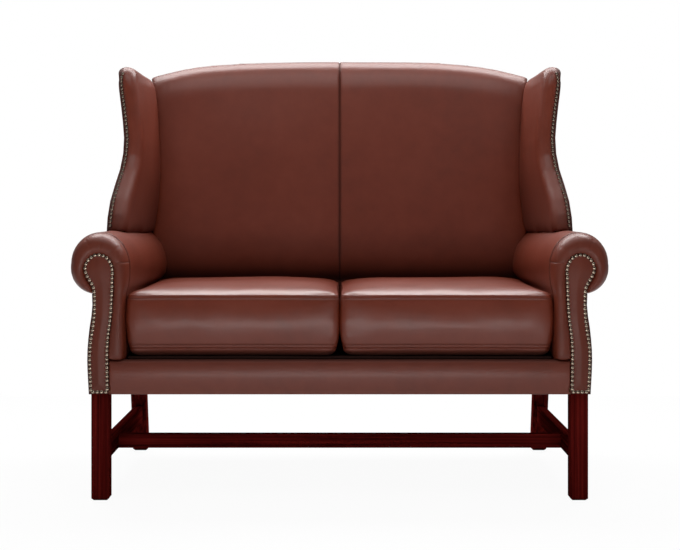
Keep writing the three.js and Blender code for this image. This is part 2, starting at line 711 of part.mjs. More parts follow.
// Padded arm: a roll over the arm board with an upright inner face. Each ring is a front view;
// towards the front it draws in to the core, which rounds the roll over to the facing.
const outerSteps = 14;
const innerSteps = 9;
const outerStart = -80; // degrees below level, where the scroll meets the arm's neck
function armSection(back) {
  const reachOut = THREE.MathUtils.lerp(scrollReach, rearScrollReach, back);
  const swell = Math.min(1, back * 1.3);
  const reachIn = THREE.MathUtils.lerp(scrollReach, rearInnerReach, swell);
  const widest = scrollHeight - THREE.MathUtils.lerp(innerRollDrop, rearRollDrop, swell);
  const points = [];
  for (let k = 0; k <= outerSteps; k += 1) {
    const turn = THREE.MathUtils.degToRad(THREE.MathUtils.lerp(outerStart, 90, k / outerSteps));
    points.push([armCentre + reachOut * Math.cos(turn), scrollHeight + scrollRise * Math.sin(turn)]);
  }
  for (let k = 1; k <= innerSteps; k += 1) {
    const turn = THREE.MathUtils.degToRad(90 + (90 * k) / innerSteps);
    points.push([armCentre + reachIn * Math.cos(turn), widest + (armTop - widest) * Math.sin(turn)]);
  }
  const roll = new THREE.QuadraticBezierCurve(
    new THREE.Vector2(armCentre - reachIn, widest),
    new THREE.Vector2(armCentre - reachIn, THREE.MathUtils.lerp(rollFoot, widest, 0.3)),
    new THREE.Vector2(seatHalf, rollFoot),
  );
  for (const p of roll.getPoints(4).slice(1)) points.push([p.x, p.y]);
  const outer = seatHalf + skirtThickness;
  const foot = railTop + gap;
  const middle = (rollFoot + foot) / 2;
  points.push([seatHalf, middle], [seatHalf, foot], [outer, foot], [outer, middle]);
  points.push([outer, rollFoot - 2 * armPanelThickness]);
  return points;
}

// The nearest point of the arm's core, which the rounded front draws in to.
function armCore([u, h]) {
  const skirtCore = seatHalf + skirtThickness / 2;
  const up = THREE.MathUtils.smoothstep(h, rollFoot - armPanelThickness, scrollHeight);
  const across = THREE.MathUtils.lerp(skirtCore, armCentre, up);
  return [across, Math.min(h, scrollHeight)];
}

const armLength = outerBack(armTop) + armPanelThickness;
const armStationShares = [0.16, 0.36, 0.56, 0.76, 1];
function paddedArm(grow) {
  const rings = armFrontShares.map(([inward, forward]) => {
    const outline = offset(armSection(0), grow).map((point) => {
      const core = armCore(point);
      return point.map((value, i) => THREE.MathUtils.lerp(value, core[i], inward));
    });
    return outline.map(([u, h]) => new THREE.Vector3(u, -rollBulge * forward - grow, h));
  });
  for (const back of armStationShares) {
    const outline = offset(armSection(back), grow);
    rings.push(outline.map(([u, h]) => new THREE.Vector3(u, armLength * back + grow, h)));
  }
  return loft(rings);
}
const armRoom = paddedArm(gap);
const borderRoom = block([0, -overrun, 0], [legSpread, borderLip + gap, borderTop + gap]);
const armPad = cut(
  paddedArm(0),
  facingRoom, armPostRoom, armBoard(gap), wingPost(gap), ...backRooms, frameRoom, rearRoom, borderRoom,
);
placePair("arm_pad", armPad, leather);

// Outside arm: the panel under the scroll, with the belly of the arm's outline.
const sideSteps = 9;
const outsideArmOutline = [];
for (let k = 0; k <= sideSteps; k += 1) {
  const h = THREE.MathUtils.lerp(legShown, neckHeight, k / sideSteps);
  outsideArmOutline.push([armSide(h), h]);
}
for (let k = sideSteps; k >= 0; k -= 1) {
  const h = THREE.MathUtils.lerp(legShown, neckHeight, k / sideSteps);
  outsideArmOutline.push([armSide(h) - armPanelThickness, h]);
}
const outsideArm = cut(
  plateAcross(outsideArmOutline, -armPanelLap, armLength),
  facingRoom, armPostRoom, frontLegRoom, rearLegRoom, frameRoom, rearRoom, armRoom,
);
placePair("outside_arm", outsideArm, leather);

// Outside wing: the panel over the outside of the wing and the rear leg.
function wingPanelRing(h, room, reach) {
  const front = wingFront(h) + wingPanelSetBack - room;
  const rear = outerBack(h) + room;
  const stations = [0, 0.2, 0.5, 0.8, 1].map((share) => THREE.MathUtils.lerp(front, rear, share));
  const near = stations.map((d) => new THREE.Vector3(wingOuter(h, d) + reach, d, h));
  const thickness = wingPanelThickness + room;
  const far = stations.map((d) => new THREE.Vector3(wingOuter(h, d) - thickness, d, h));
  return [...near, ...far.reverse()];
}
function wingPanel(room, reach = 0) {
  const rings = [];
  const steps = 12;
  for (let k = 0; k <= steps; k += 1) {
    const level = THREE.MathUtils.lerp(wingFoot, wingPanelTop, k / steps);
    rings.push(wingPanelRing(level + (k === steps ? room : 0), room, reach));
  }
  return loft(rings);
}
placePair("outside_wing", cut(wingPanel(0), armRoom, frameRoom), leather);

// Padded wing: each ring is a plan view, from the back along the outside, round the front edge
// and back along the inside. The top rings draw in, which rounds it over.
const wingLevels = [];
const wingSteps = 13;
for (let k = 0; k <= wingSteps; k += 1) {
  wingLevels.push([THREE.MathUtils.lerp(wingFoot, wingPanelTop, k / wingSteps) - wingRollHeight / 2, 0]);
}
for (const turn of [0, 1, 2, 3, 4, 5].map((k) => (k * Math.PI) / 10)) {
  const h = wingTop - wingRollHeight * (1 - Math.sin(turn));
  wingLevels.push([h, wingRollWidth * (1 - Math.cos(turn))]);
}
const wingSideShares = [1, 0.6, 0.25]; // of the way from the front edge to the back
const wingRoundShare = 0.4; // of the front edge's thickness, at most
const wingBendShare = 0.42; // of the way in from the front edge, where the inside bends
function wingRing(h, inset) {
  const front = wingFront(h) + inset;
  const rear = outerBack(h) - inset;
  const outer = (share) => {
    const d = THREE.MathUtils.lerp(front, rear, share);
    return [wingOuter(h, d) - inset, d];
  };
  const [edge] = outer(0);
  const side = backSide(h) + gap + inset;
  const inner = Math.max(edge - wingThickness + 2 * inset, side);
  const round = Math.min(wingEdgeRound, (edge - inner) * wingRoundShare);
  const inside = insideFace(h) - wingEdgeRound;
  const rounding = (from, way, shares) =>
    shares.map(([aside, down]) => [from + way * aside * round, front + down * round]);
  const points = [
    ...wingSideShares.map(outer),
    ...rounding(edge, -1, wingOuterEdgeShares),
    ...rounding(inner, 1, wingInnerEdgeShares),
    [[inner, side], [front, inside]].map((ends) => THREE.MathUtils.lerp(...ends, wingBendShare)),
    [side, inside], [side, rear],
  ];
  return points.map(([u, d]) => new THREE.Vector3(u, d, h));
}
const wingRings = wingLevels.map(([h, inset]) => wingRing(h, inset));
const wingPad = cut(
  loft(wingRings),
  wingPanel(gap, overrun), armRoom, ...backRooms, frameRoom,
  wingPost(gap, overrun), wingRail(gap, overrun), armBoard(gap),
);
placePair("wing_pad", wingPad, leather);

// Nail strips: a narrow strip with a domed head at every pitch. Each stop holds a place on the
// surface, the way across the strip and the way out of the surface.
function nailStrip(stops, closed) {
  const rings = stops.map(([centre, across, out], i) => {
    const head = i % 2 === 1;
    const half = (head ? nailWidth : nailNeckWidth) / 2;
    const rise = head ? nailHeight : nailNeckHeight;
    return [[-1, 0], [-0.55, 1], [0.55, 1], [1, 0]].map(([aside, up]) =>
      centre.clone().addScaledVector(across, aside * half).addScaledVector(out, up * rise),
    );
  });
  return loft(rings, closed);
}

// Facing nails: all the way round the facing, along its nail line.
const nailLoop = new THREE.CurvePath();
const lineStart = nailLineCurve.getPoint(0);
nailLoop.add(nailLineCurve);
nailLoop.add(new THREE.LineCurve(nailLineCurve.getPoint(1), lineStart));
const facingNails = Math.round(nailLoop.getLength() / nailPitch);
const facingStops = nailLoop.getSpacedPoints(2 * facingNails).slice(0, -1).map((p, i, all) => {
  const before = all[(i + all.length - 1) % all.length];
  const after = all[(i + 1) % all.length];
  const ahead = new THREE.Vector3(after.x - before.x, 0, after.y - before.y).normalize();
  const out = new THREE.Vector3(0, -1, 0);
  return [new THREE.Vector3(p.x, facingFront - gap, p.y), ahead.clone().cross(out), out];
});
placePair("facing_nails", nailStrip(facingStops, true), antiqueBrass);

// Wing nails: up the front edge of the wing, on the facet beside the outside panel.
function wingNailStop(h) {
  const k = wingLevels.findIndex(([level]) => level > h);
  const share = (h - wingLevels[k - 1][0]) / (wingLevels[k][0] - wingLevels[k - 1][0]);
  const [low, high] = [4, 5].map((i) => wingRings[k - 1][i].clone().lerp(wingRings[k][i], share));
  const across = high.clone().sub(low).normalize();
  const out = new THREE.Vector3(across.y, -across.x, 0);
  if (out.y > 0) out.negate();
  return [low.lerp(high, 1 / 2).addScaledVector(out, 2 * gap), across, out];
}
const [wingNailFoot, wingNailTop] = [armTop + wingNailRise, wingTop - wingNailDrop];
const wingNails = Math.round((wingNailTop - wingNailFoot) / nailPitch);
const wingStops = [];
for (let k = 0; k <= 2 * wingNails; k += 1) {
  wingStops.push(wingNailStop(THREE.MathUtils.lerp(wingNailFoot, wingNailTop, k / (2 * wingNails))));
}
placePair("wing_nails", nailStrip(wingStops, false), antiqueBrass);

// Front border: the leather band over the front rail, turned back over its top edge.
const borderOutline = [
  [facingFront, legShown], [facingBack, legShown], [facingBack, railTop + gap],
  [borderLip, railTop + gap], [borderLip, borderTop], [facingFront + borderLip / 2, borderTop],
  [facingFront, borderTop - borderLip / 2],
];
const borderBody = plateAlong(borderOutline, -railHalf, railHalf);
const borderEnds = [facingRoom, armPostRoom];
place("front_border", cut(borderBody, ...borderEnds, ...borderEnds.map(mirrored)), leather);

// Loose cushions: crowned, drawn in along their sides, with a full boxing between two seams.
const cushionRear = insideBackDepth - runningGap - backCrease / 4;
const cushionHalfWidth = (seatHalf - 2 * runningGap) / 2;
const cushionHalfDepth = (cushionRear - cushionFront) / 2;
const cushionFoot = deckTop + gap;
const cushionSideSteps = 7;
const cushionTurnSteps = 4;
const cushionTurnShare = 0.1; // from the lower seam's inset to the flat bottom's, halfway down
const plainEdge = 1 / 2; // of the draw-in, where there is no seam
function cushionRing(inset, height, across, deep) {
  const half = [across - inset, deep - inset];
  const drawIn = cushionDrawIn * (inset > 0 ? 1 : plainEdge);
  const corners = [[1, 1], [-1, 1], [-1, -1], [1, -1]];
  const arcs = corners.map((signs, k) => {
    const middle = signs.map((sign, i) => sign * (half[i] - cushionCorner));
    return Array.from({ length: cushionTurnSteps + 1 }, (_, step) => {
      const turn = (k + step / cushionTurnSteps) * (Math.PI / 2);
      return [
        middle[0] + cushionCorner * Math.cos(turn),
        middle[1] + cushionCorner * Math.sin(turn),
      ];
    });
  });
  const points = arcs.flatMap((arc, k) => {
    const from = arc[cushionTurnSteps];
    const to = arcs[(k + 1) % arcs.length][0];
    const side = Array.from({ length: cushionSideSteps - 1 }, (_, step) => {
      const share = (step + 1) / cushionSideSteps;
      const pull = drawIn * (1 - (2 * share - 1) ** 2);
      const place = from.map((value, i) => THREE.MathUtils.lerp(value, to[i], share));
      // Sides run along X after an even corner and along Y after an odd one.
      const out = k % 2 === 0 ? 1 : 0;
      place[out] -= Math.sign(place[out]) * pull;
      return place;
    });
    return [...arc, ...side];
  });
  return points.map(([x, y]) => new THREE.Vector3(x, y, height));
}
function cushion() {
  const half = [cushionHalfWidth, cushionHalfDepth];
  const seam = cushionFoot + cushionSeamRise;
  const turnIn = THREE.MathUtils.lerp(cushionFootInset, cushionUnderInset, cushionTurnShare);
  const rings = [
    cushionRing(cushionUnderInset, cushionFoot, ...half),
    cushionRing(turnIn, cushionFoot + cushionSeamRise / 2, ...half),
  ];
  for (const [up, low, high] of cushionSideShares) {
    const inset = low * cushionFootInset + high * cushionTopInset;
    rings.push(cushionRing(inset, THREE.MathUtils.lerp(seam, cushionEdge, up), ...half));
  }
  for (const share of cushionCrownShares) {
    const rise = cushionCrown * (1 - share ** 3);
    rings.push(cushionRing(0, cushionEdge + rise, ...half.map((value) => value * share)));
  }
  return loft(rings).translate(
    runningGap + cushionHalfWidth,
    cushionFront + cushionHalfDepth,
    0,
  );
}
placePair("seat_cushion", cushion(), leather);

// The origin goes to the middle of the footprint, on the floor.
const extent = new THREE.Box3().setFromObject(settee);
const middle = extent.getCenter(new THREE.Vector3());
settee.position.set(-middle.x, -middle.y, -extent.min.z);

export default settee;
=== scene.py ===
import math

import bpy
from mathutils import Matrix, Vector, noise
from mathutils.bvhtree import BVHTree
from mathutils.kdtree import KDTree


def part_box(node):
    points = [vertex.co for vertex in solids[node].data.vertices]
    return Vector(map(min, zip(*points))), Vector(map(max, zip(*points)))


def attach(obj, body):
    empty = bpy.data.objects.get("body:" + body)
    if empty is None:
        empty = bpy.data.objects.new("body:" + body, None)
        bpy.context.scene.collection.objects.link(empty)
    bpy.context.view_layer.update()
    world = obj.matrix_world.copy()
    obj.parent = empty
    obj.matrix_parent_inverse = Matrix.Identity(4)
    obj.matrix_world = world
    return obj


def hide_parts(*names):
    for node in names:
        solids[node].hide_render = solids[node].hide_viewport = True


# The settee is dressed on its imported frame, in metres. Legs, rails, posts and springs keep their
# own solids and get their wood and steel; everything of leather, cloth or webbing is made anew.
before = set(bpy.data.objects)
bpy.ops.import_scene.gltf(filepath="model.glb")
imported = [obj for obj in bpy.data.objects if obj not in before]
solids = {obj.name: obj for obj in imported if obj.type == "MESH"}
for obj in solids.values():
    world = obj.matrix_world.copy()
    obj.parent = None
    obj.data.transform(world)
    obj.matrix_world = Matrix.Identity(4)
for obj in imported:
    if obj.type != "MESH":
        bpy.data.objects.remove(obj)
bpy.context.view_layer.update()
BODY = "settee_frame"
SIDES = ("left", "right")


# Camera: it stands level in front of the settee, a little above the arms, and its picture is
# shifted down, as the photograph's was. Its place is counted from the front of the front legs.
PHOTO_WIDTH_PX = 680
PHOTO_HEIGHT_PX = 550
EYE_LEVEL_PX = 203  # the row at the camera's height, from the picture's top
MIDDLE_PX = 339.7  # the column of the settee's middle
PX_PER_METRE = 409.1  # at the front of the front legs
VIEW_DISTANCE = 3.3
EYE_HEIGHT = 0.7275
SENSOR_MM = 36
leg_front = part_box("front_leg_left")[0].y
bpy.ops.object.camera_add(
    location=(0, leg_front - VIEW_DISTANCE, EYE_HEIGHT), rotation=(math.pi / 2, 0, 0)
)
camera = bpy.context.object
camera.data.sensor_width = SENSOR_MM
camera.data.lens = SENSOR_MM * PX_PER_METRE * VIEW_DISTANCE / PHOTO_WIDTH_PX
camera.data.shift_x = (PHOTO_WIDTH_PX / 2 - MIDDLE_PX) / PHOTO_WIDTH_PX
camera.data.shift_y = (EYE_LEVEL_PX - PHOTO_HEIGHT_PX / 2) / PHOTO_WIDTH_PX
bpy.context.scene.camera = camera


# Legs and stretchers: square mahogany, planed, stained dark red and rubbed with oil, not gloss.
# The grain runs along each piece, with straight dark and light stripes.
class Tone:
    """A value or colour in a material's nodes, so that sums on it are written as sums."""

    def __init__(self, tree, socket):
        self.tree, self.socket = tree, socket

    def node(self, kind, settings=None, inputs=None, output=0):
        made = self.tree.nodes.new(kind)
        for name, value in (settings or {}).items():
            if name != "stops":
                setattr(made, name, value)
                continue
            for k, (place, colour) in enumerate(value):
                stops = made.color_ramp.elements
                stop = stops[k] if k < 2 else stops.new(place)
                stop.position, stop.color = place, (*colour, 1)
        for name, value in (inputs or {}).items():
            if isinstance(value, Tone):
                self.tree.links.new(value.socket, made.inputs[name])
            else:
                made.inputs[name].default_value = value
        return Tone(self.tree, made.outputs[output])

    def sum(self, operation, *values):
        return self.node("ShaderNodeMath", {"operation": operation}, dict(enumerate(values)))

    def __add__(self, other):
        return self.sum("ADD", self, other)

    def __sub__(self, other):
        return self.sum("SUBTRACT", self, other)

    def __rsub__(self, other):
        return self.sum("SUBTRACT", other, self)

    def __mul__(self, other):
        return self.sum("MULTIPLY", self, other)

    def __pow__(self, other):
        return self.sum("POWER", self, other)

    def clipped(self):
        return self.node("ShaderNodeClamp", {}, {"Value": self})

    def between(self, low, high):
        """The colour between two, this value of the way."""
        sockets = {"Factor": self, 6: (*low, 1) if isinstance(low, tuple) else low}
        sockets[7] = (*high, 1) if isinstance(high, tuple) else high
        return self.node("ShaderNodeMix", {"data_type": "RGBA"}, sockets, output=2)

    def ramp(self, *stops):
        return self.node("ShaderNodeValToRGB", {"stops": stops}, {"Fac": self})

    def stretched(self, scale):
        """This place, stretched by a scale for each axis."""
        return self.node("ShaderNodeMapping", {}, {"Vector": self, "Scale": scale})

    def clouds(self, scale, detail=3, roughness=0.5):
        inputs = {"Vector": self, "Scale": scale, "Detail": detail, "Roughness": roughness}
        return self.node("ShaderNodeTexNoise", {}, inputs)

    def cells(self, scale):
        return self.node("ShaderNodeTexVoronoi", {}, {"Vector": self, "Scale": scale})

    def bump(self, strength, distance, under=None):
        inputs = {"Height": self, "Strength": strength, "Distance": distance}
        if under:
            inputs["Normal"] = under
        return self.node("ShaderNodeBump", {}, inputs)


class Finish:
    """A material: its constants on the shader's own sockets, and the place to draw patterns by."""

    def __init__(self, name, constants):
        self.material = bpy.data.materials.new(name)
        self.material.use_nodes = True
        self.tree = self.material.node_tree
        self.shader = self.tree.nodes["Principled BSDF"]
        for socket, value in constants.items():
            self.shader.inputs[socket].default_value = value
        self.place = Tone(self.tree, self.tree.nodes.new("ShaderNodeTexCoord").outputs["Object"])

    def along(self, grain, share):
        """The place, with its patterns drawn out along an axis, 0, 1 or 2."""
        scale = [1.0, 1.0, 1.0]
        scale[grain] = share
        return self.place.stretched(scale)

    def attribute(self, name):
        return self.place.node("ShaderNodeAttribute", {"attribute_name": name}, output="Fac")

    def wear(self, **tones):
        """Link tones to sockets: base_color to Base Color, and so on."""
        for socket, tone in tones.items():
            self.tree.links.new(tone.socket, self.shader.inputs[socket.replace("_", " ").title()])


MAHOGANY_DARK = (0.022, 0.0022, 0.0018)
MAHOGANY_MIDDLE = (0.084, 0.0055, 0.0046)
MAHOGANY_LIGHT = (0.155, 0.012, 0.0092)
MAHOGANY_STOPS = (0.28, 0.5, 0.72)
MAHOGANY_ROUGHNESS = 0.45
STRIPE_PER_METRE = 210
PORE_PER_METRE = 1500
PORE_DEPTH = 0.0004
FIGURE_PER_METRE = 9
STRIPE_STRETCH = 0.012  # of a pattern's scale across the grain
STRETCHER_PAINTED_LIGHT = 1.8  # painted light: the cross stretcher, farther back and less lit, is made paler


def mahogany(name, grain, lift=1):
    """Stained mahogany with its grain along an axis, 0, 1 or 2; a lift above 1 paints light into
    it, making it paler.
    """
    wood = Finish(name, {"Specular IOR Level": 0.0})
    along = wood.along(grain, STRIPE_STRETCH)
    stripes = along.clouds(STRIPE_PER_METRE, detail=2)
    pores = along.clouds(PORE_PER_METRE, detail=2, roughness=0.7)
    figure = wood.place.clouds(FIGURE_PER_METRE)
    tone = (stripes * 0.85 + pores * 0.2 + figure * 0.15 - 0.1).clipped()
    stains = (MAHOGANY_DARK, MAHOGANY_MIDDLE, MAHOGANY_LIGHT)
    lifted = (tuple(lift * value for value in stain) for stain in stains)
    wood.wear(
        base_color=tone.ramp(*zip(MAHOGANY_STOPS, lifted)),
        roughness=pores * 0.2 + MAHOGANY_ROUGHNESS,
        normal=pores.bump(0.25, PORE_DEPTH),
    )
    return wood.material


def give(node, material):
    """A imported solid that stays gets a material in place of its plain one."""
    for slot in solids[node].material_slots:
        slot.material = material


grain_up = mahogany("mahogany_grain_up", 2)
grain_back = mahogany("mahogany_grain_back", 1)
for side in SIDES:
    give(f"front_leg_{side}", grain_up)
    give(f"rear_leg_{side}", grain_up)
    give(f"side_stretcher_{side}", grain_back)
give("cross_stretcher", mahogany("mahogany_grain_across", 0, STRETCHER_PAINTED_LIGHT))


# Seat, back, arm and wing frames: sawn beech, glued and screwed, and hidden by the upholstery.
# Its pale wood has short dark flecks along the grain.
BEECH_PALE = (0.62, 0.42, 0.25)
BEECH_FLECK = (0.36, 0.2, 0.1)
BEECH_ROUGHNESS = 0.5
FLECK_PER_METRE = 420
FLECK_DEPTH = 0.0005
FLECK_STRETCH = 0.096
BAND_PER_METRE = 45


def beech(name, grain):
    wood = Finish(name, {"Specular IOR Level": 0.3})
    along = wood.along(grain, FLECK_STRETCH)
    flecks = along.clouds(FLECK_PER_METRE, detail=4, roughness=0.65)
    bands = along.clouds(BAND_PER_METRE)
    tone = (flecks ** 2 * 1.6 + bands * 0.3 - 0.15).clipped()
    wood.wear(
        base_color=tone.between(BEECH_PALE, BEECH_FLECK),
        roughness=flecks * 0.25 + BEECH_ROUGHNESS,
        normal=flecks.bump(0.3, FLECK_DEPTH),
    )
    return wood.material


beech_across = beech("beech_grain_across", 0)
beech_back = beech("beech_grain_back", 1)
beech_up = beech("beech_grain_up", 2)
for node in ("front_rail", "rear_rail", "back_lower_rail", "back_top_rail"):
    give(node, beech_across)
give("centre_rail", beech_back)
give("back_centre_post", beech_up)
for side in SIDES:
    for node in ("side_rail", "arm_board", "wing_rail"):
        give(f"{node}_{side}", beech_back)
    for node in ("arm_post", "wing_post", "front_corner_block", "rear_corner_block"):
        give(f"{node}_{side}", beech_up)


# Seat springs: zigzags of drawn steel wire, clipped to the rails. The wire is grey and dry, with
# fine draw marks and a little brown where it has begun to rust.
STEEL_BRIGHT = (0.42, 0.42, 0.43)
STEEL_BROWN = (0.2, 0.13, 0.09)
STEEL_ROUGHNESS = 0.35
RUST_PER_METRE = 60
DRAW_MARK_PER_METRE = 1600
DRAW_MARK_DEPTH = 0.0002
wire = Finish("spring_wire", {"Metallic": 0.95})
rust = (wire.place.clouds(RUST_PER_METRE) * 2.2 - 1).clipped()
wire.wear(
    base_color=rust.between(STEEL_BRIGHT, STEEL_BROWN),
    roughness=rust * 0.3 + STEEL_ROUGHNESS,
    normal=wire.place.clouds(DRAW_MARK_PER_METRE).bump(0.15, DRAW_MARK_DEPTH),
)
for side in SIDES:
    for k in (1, 2, 3):
        give(f"seat_spring_{k}_{side}", wire.material)


# Dust cover: thin black spun cloth, tacked under the rails and cut away round the legs. It sags
# a little between its tacks.
COVER_CELL = 0.012
COVER_SAG = 0.003
COVER_SAG_UNEVEN_PER_METRE = 9
COVER_THICKNESS = 0.0012
BLACK_THREADS = ((0.006, 0.006, 0.007), (0.02, 0.019, 0.021))
WEAVE_PER_METRE = 900
WEAVE_DEPTH = 0.0004


def only(piece):
    """Deselect everything but one piece."""
    bpy.ops.object.select_all(action="DESELECT")
    piece.select_set(True)
    bpy.context.view_layer.objects.active = piece


def shape_by(piece, kind, **settings):
    """Add a modifier to a piece and apply it."""
    modifier = piece.modifiers.new(kind.title(), kind)
    for name, value in settings.items():
        setattr(modifier, name, value)
    only(piece)
    bpy.ops.object.modifier_apply(modifier=modifier.name)


def dress(piece, material, slot, *nodes, body=BODY):
    """A finished piece: its material, the solids it stands for, and the body it rides on."""
    piece.data.materials.clear()
    piece.data.materials.append(material)
    for face in piece.data.polygons:
        face.use_smooth = True
    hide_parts(*nodes)
    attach(piece, body)
    return piece


def woven(name, dark, light, threads):
    """Plain cloth: over and under at a fixed pitch, with uneven threads."""
    cloth = Finish(name, {"Roughness": 0.9, "Specular IOR Level": 0.03})
    split = cloth.place.node("ShaderNodeSeparateXYZ", {}, {"Vector": cloth.place}).socket.node
    across, back, up = (Tone(cloth.tree, output) for output in split.outputs)
    weft, warp = (
        ((way * (2 * math.pi * threads)).sum("SINE", way * (2 * math.pi * threads)) + 1) * 0.5
        for way in (across, back + up)
    )
    uneven = cloth.place.clouds(threads / 4)
    height = weft.sum("MAXIMUM", weft * 0.9, warp) * 0.7 + uneven * 0.3
    cloth.wear(base_color=height.between(dark, light), normal=height.bump(0.4, WEAVE_DEPTH))
    return cloth.material


def grid_sheet(name, low, high, cell, flat_axis):
    """A flat sheet over a box, as a grid of cells across its two long sides."""
    size = high - low
    spans = [axis for axis in range(3) if axis != flat_axis]
    counts = [max(1, round(size[axis] / cell)) for axis in spans]
    bpy.ops.mesh.primitive_grid_add(x_subdivisions=counts[0], y_subdivisions=counts[1], size=1)
    sheet = bpy.context.object
    sheet.name = name
    for vertex in sheet.data.vertices:
        place = (low + high) / 2
        for k, axis in enumerate(spans):
            place[axis] += vertex.co[k] * size[axis]
        vertex.co = place
    return sheet


low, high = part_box("dust_cover")
dust_cover = grid_sheet("dust_cover_cloth", low, high, COVER_CELL, 2)
leg_boxes = [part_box(f"{leg}_leg_{side}") for leg in ("front", "rear") for side in SIDES]
rear_rail_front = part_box("rear_rail")[0].y
only(dust_cover)
bpy.ops.object.mode_set(mode="EDIT")
bpy.ops.mesh.select_all(action="DESELECT")
bpy.ops.object.mode_set(mode="OBJECT")
for face in dust_cover.data.polygons:
    for leg_low, leg_high in leg_boxes:
        in_front = leg_low.y < 0
        start = (leg_low.y if in_front else rear_rail_front) - COVER_CELL / 2
        end = (leg_high.y if in_front else high.y) + COVER_CELL / 2
        if leg_low.x < face.center.x < leg_high.x and start < face.center.y < end:
            face.select = True
bpy.ops.object.mode_set(mode="EDIT")
bpy.ops.mesh.delete(type="FACE")
bpy.ops.object.mode_set(mode="OBJECT")
for vertex in dust_cover.data.vertices:
    u = 2 * (vertex.co.x - low.x) / (high.x - low.x) - 1
    v = 2 * (vertex.co.y - low.y) / (high.y - low.y) - 1
    slack = (1 - u ** 4) * (1 - v ** 4)
    uneven = noise.noise(vertex.co * COVER_SAG_UNEVEN_PER_METRE)
    vertex.co.z -= COVER_SAG * slack * (1 + uneven)
shape_by(dust_cover, "SOLIDIFY", thickness=COVER_THICKNESS, offset=0)
black_cloth = woven("black_cloth", *BLACK_THREADS, WEAVE_PER_METRE)
dress(dust_cover, black_cloth, "black_cloth", "dust_cover")


# Back webbing: three elastic straps, woven with ribs along their length, stretched across the
# back's uprights and tacked to them.
STRAP_CELL = 0.0125
STRAP_THICKNESS = 0.002
STRAP_THREADS = ((0.02, 0.017, 0.014), (0.075, 0.065, 0.055))
RIB_PER_METRE = 300
webbing = woven("elastic_webbing", *STRAP_THREADS, RIB_PER_METRE)
for k in (1, 2, 3):
    node = f"back_strap_{k}"
    low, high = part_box(node)
    lean = (high.y - low.y - STRAP_THICKNESS) / (high.z - low.z)
    strap = grid_sheet(f"{node}_webbing", low, high, STRAP_CELL, 1)
    for vertex in strap.data.vertices:
        vertex.co.y = low.y + STRAP_THICKNESS / 2 + (vertex.co.z - low.z) * lean
    shape_by(strap, "SOLIDIFY", thickness=STRAP_THICKNESS, offset=0)
    dress(strap, webbing, "webbing", node)


# Seat platform: brown lining cloth over a thin felt pad, stretched over the springs under the
# cushions. Only its front edge shows, until a cushion comes off.
LINING_THREADS = ((0.008, 0.0035, 0.003), (0.026, 0.011, 0.009))
MERGE = 0.00002


def edit_mesh(piece, *steps):
    """Run Edit Mode operators, each with its settings, on the whole of a piece's mesh."""
    only(piece)
    bpy.ops.object.mode_set(mode="EDIT")
    for operator, settings in steps:
        bpy.ops.mesh.select_all(action="SELECT")
        operator(**settings)
    bpy.ops.object.mode_set(mode="OBJECT")


def copy_solid(name, node):
    """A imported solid's form in an object of its own, its doubled corners merged."""
    piece = bpy.data.objects.new(name, solids[node].data.copy())
    bpy.context.scene.collection.objects.link(piece)
    edit_mesh(piece, (bpy.ops.mesh.remove_doubles, {"threshold": MERGE}))
    return piece


def ease(piece, rounds, group=""):
    """Smooth a piece, or the points of a group by their weights."""
    shape_by(piece, "SMOOTH", factor=0.5, iterations=rounds, vertex_group=group)


def fill_out(piece, rise, group=""):
    """Raise a piece's surface, or the points of a group by their weights."""
    shape_by(piece, "DISPLACE", strength=rise, mid_level=0, vertex_group=group)


def cover_form(piece, voxel, easing, plump=0):
    """Cloth or leather drawn over a form: even faces, eased edges, and filled out."""
    shape_by(piece, "REMESH", mode="VOXEL", voxel_size=voxel)
    ease(piece, easing)
    if plump:
        fill_out(piece, plump)


def cover_solid(name, node, voxel, easing, plump=0):
    """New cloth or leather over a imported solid."""
    piece = copy_solid(name, node)
    cover_form(piece, voxel, easing, plump)
    return piece


def swell(piece, amount, size, seed, where=lambda vertex: 1):
    """Uneven filling: low swellings and hollows under the cover."""
    offset = Vector((seed, 2.3 * seed, 3.1 * seed))
    moves = []
    for vertex in piece.data.vertices:
        rise = noise.noise(vertex.co / size + offset) * amount * where(vertex)
        moves.append(vertex.normal * rise)
    for vertex, move in zip(piece.data.vertices, moves):
        vertex.co += move


lining = woven("lining_cloth", *LINING_THREADS, WEAVE_PER_METRE)
platform = cover_solid("seat_platform", "seat_deck", voxel=0.0065, easing=3)
swell(platform, amount=0.0012, size=0.09, seed=4)
dress(platform, lining, "platform_cloth", "seat_deck")


# Inside back: soft leather over foam and wadding, in two halves sewn together at the middle,
# rolled over the top rail and tucked down behind the cushions.
LEATHER_DARK = (0.12, 0.02, 0.0082)
LEATHER_MIDDLE = (0.141, 0.0236, 0.01)
LEATHER_LIGHT = (0.158, 0.0285, 0.0128)
# The dark of the seams, which is also the colour of painted shade.
LEATHER_SEAM_AND_SHADE = (0.03, 0.0075, 0.0045)
LEATHER_ROUGHNESS = 0.39
LEATHER_COAT = 0.22
PEBBLE_PER_METRE = 850
PEBBLE_DEPTH = 0.0004
FINE_GRAIN_PER_METRE = 1700
FINE_GRAIN_DEPTH = 0.0003
MOTTLE_PER_METRE = 26
SHADING_PER_METRE = 5
SEAM_AND_SHADE_DARKENS = 0.8  # at a seam or under painted shade, the colour goes this far to the dark seam colour
SEAM_AND_SHADE_DULLS = 0.35  # it adds this to the roughness
SEAM_AND_SHADE_STRIPS = 0.4  # and takes this from the coat
leather = Finish("brown_leather", {"Specular IOR Level": 0.26, "Coat Roughness": 0.22})
pebbles = leather.place.cells(PEBBLE_PER_METRE)
fine_grain = leather.place.clouds(FINE_GRAIN_PER_METRE)
mottle = leather.place.clouds(MOTTLE_PER_METRE, detail=5, roughness=0.6)
shading = leather.place.clouds(SHADING_PER_METRE)
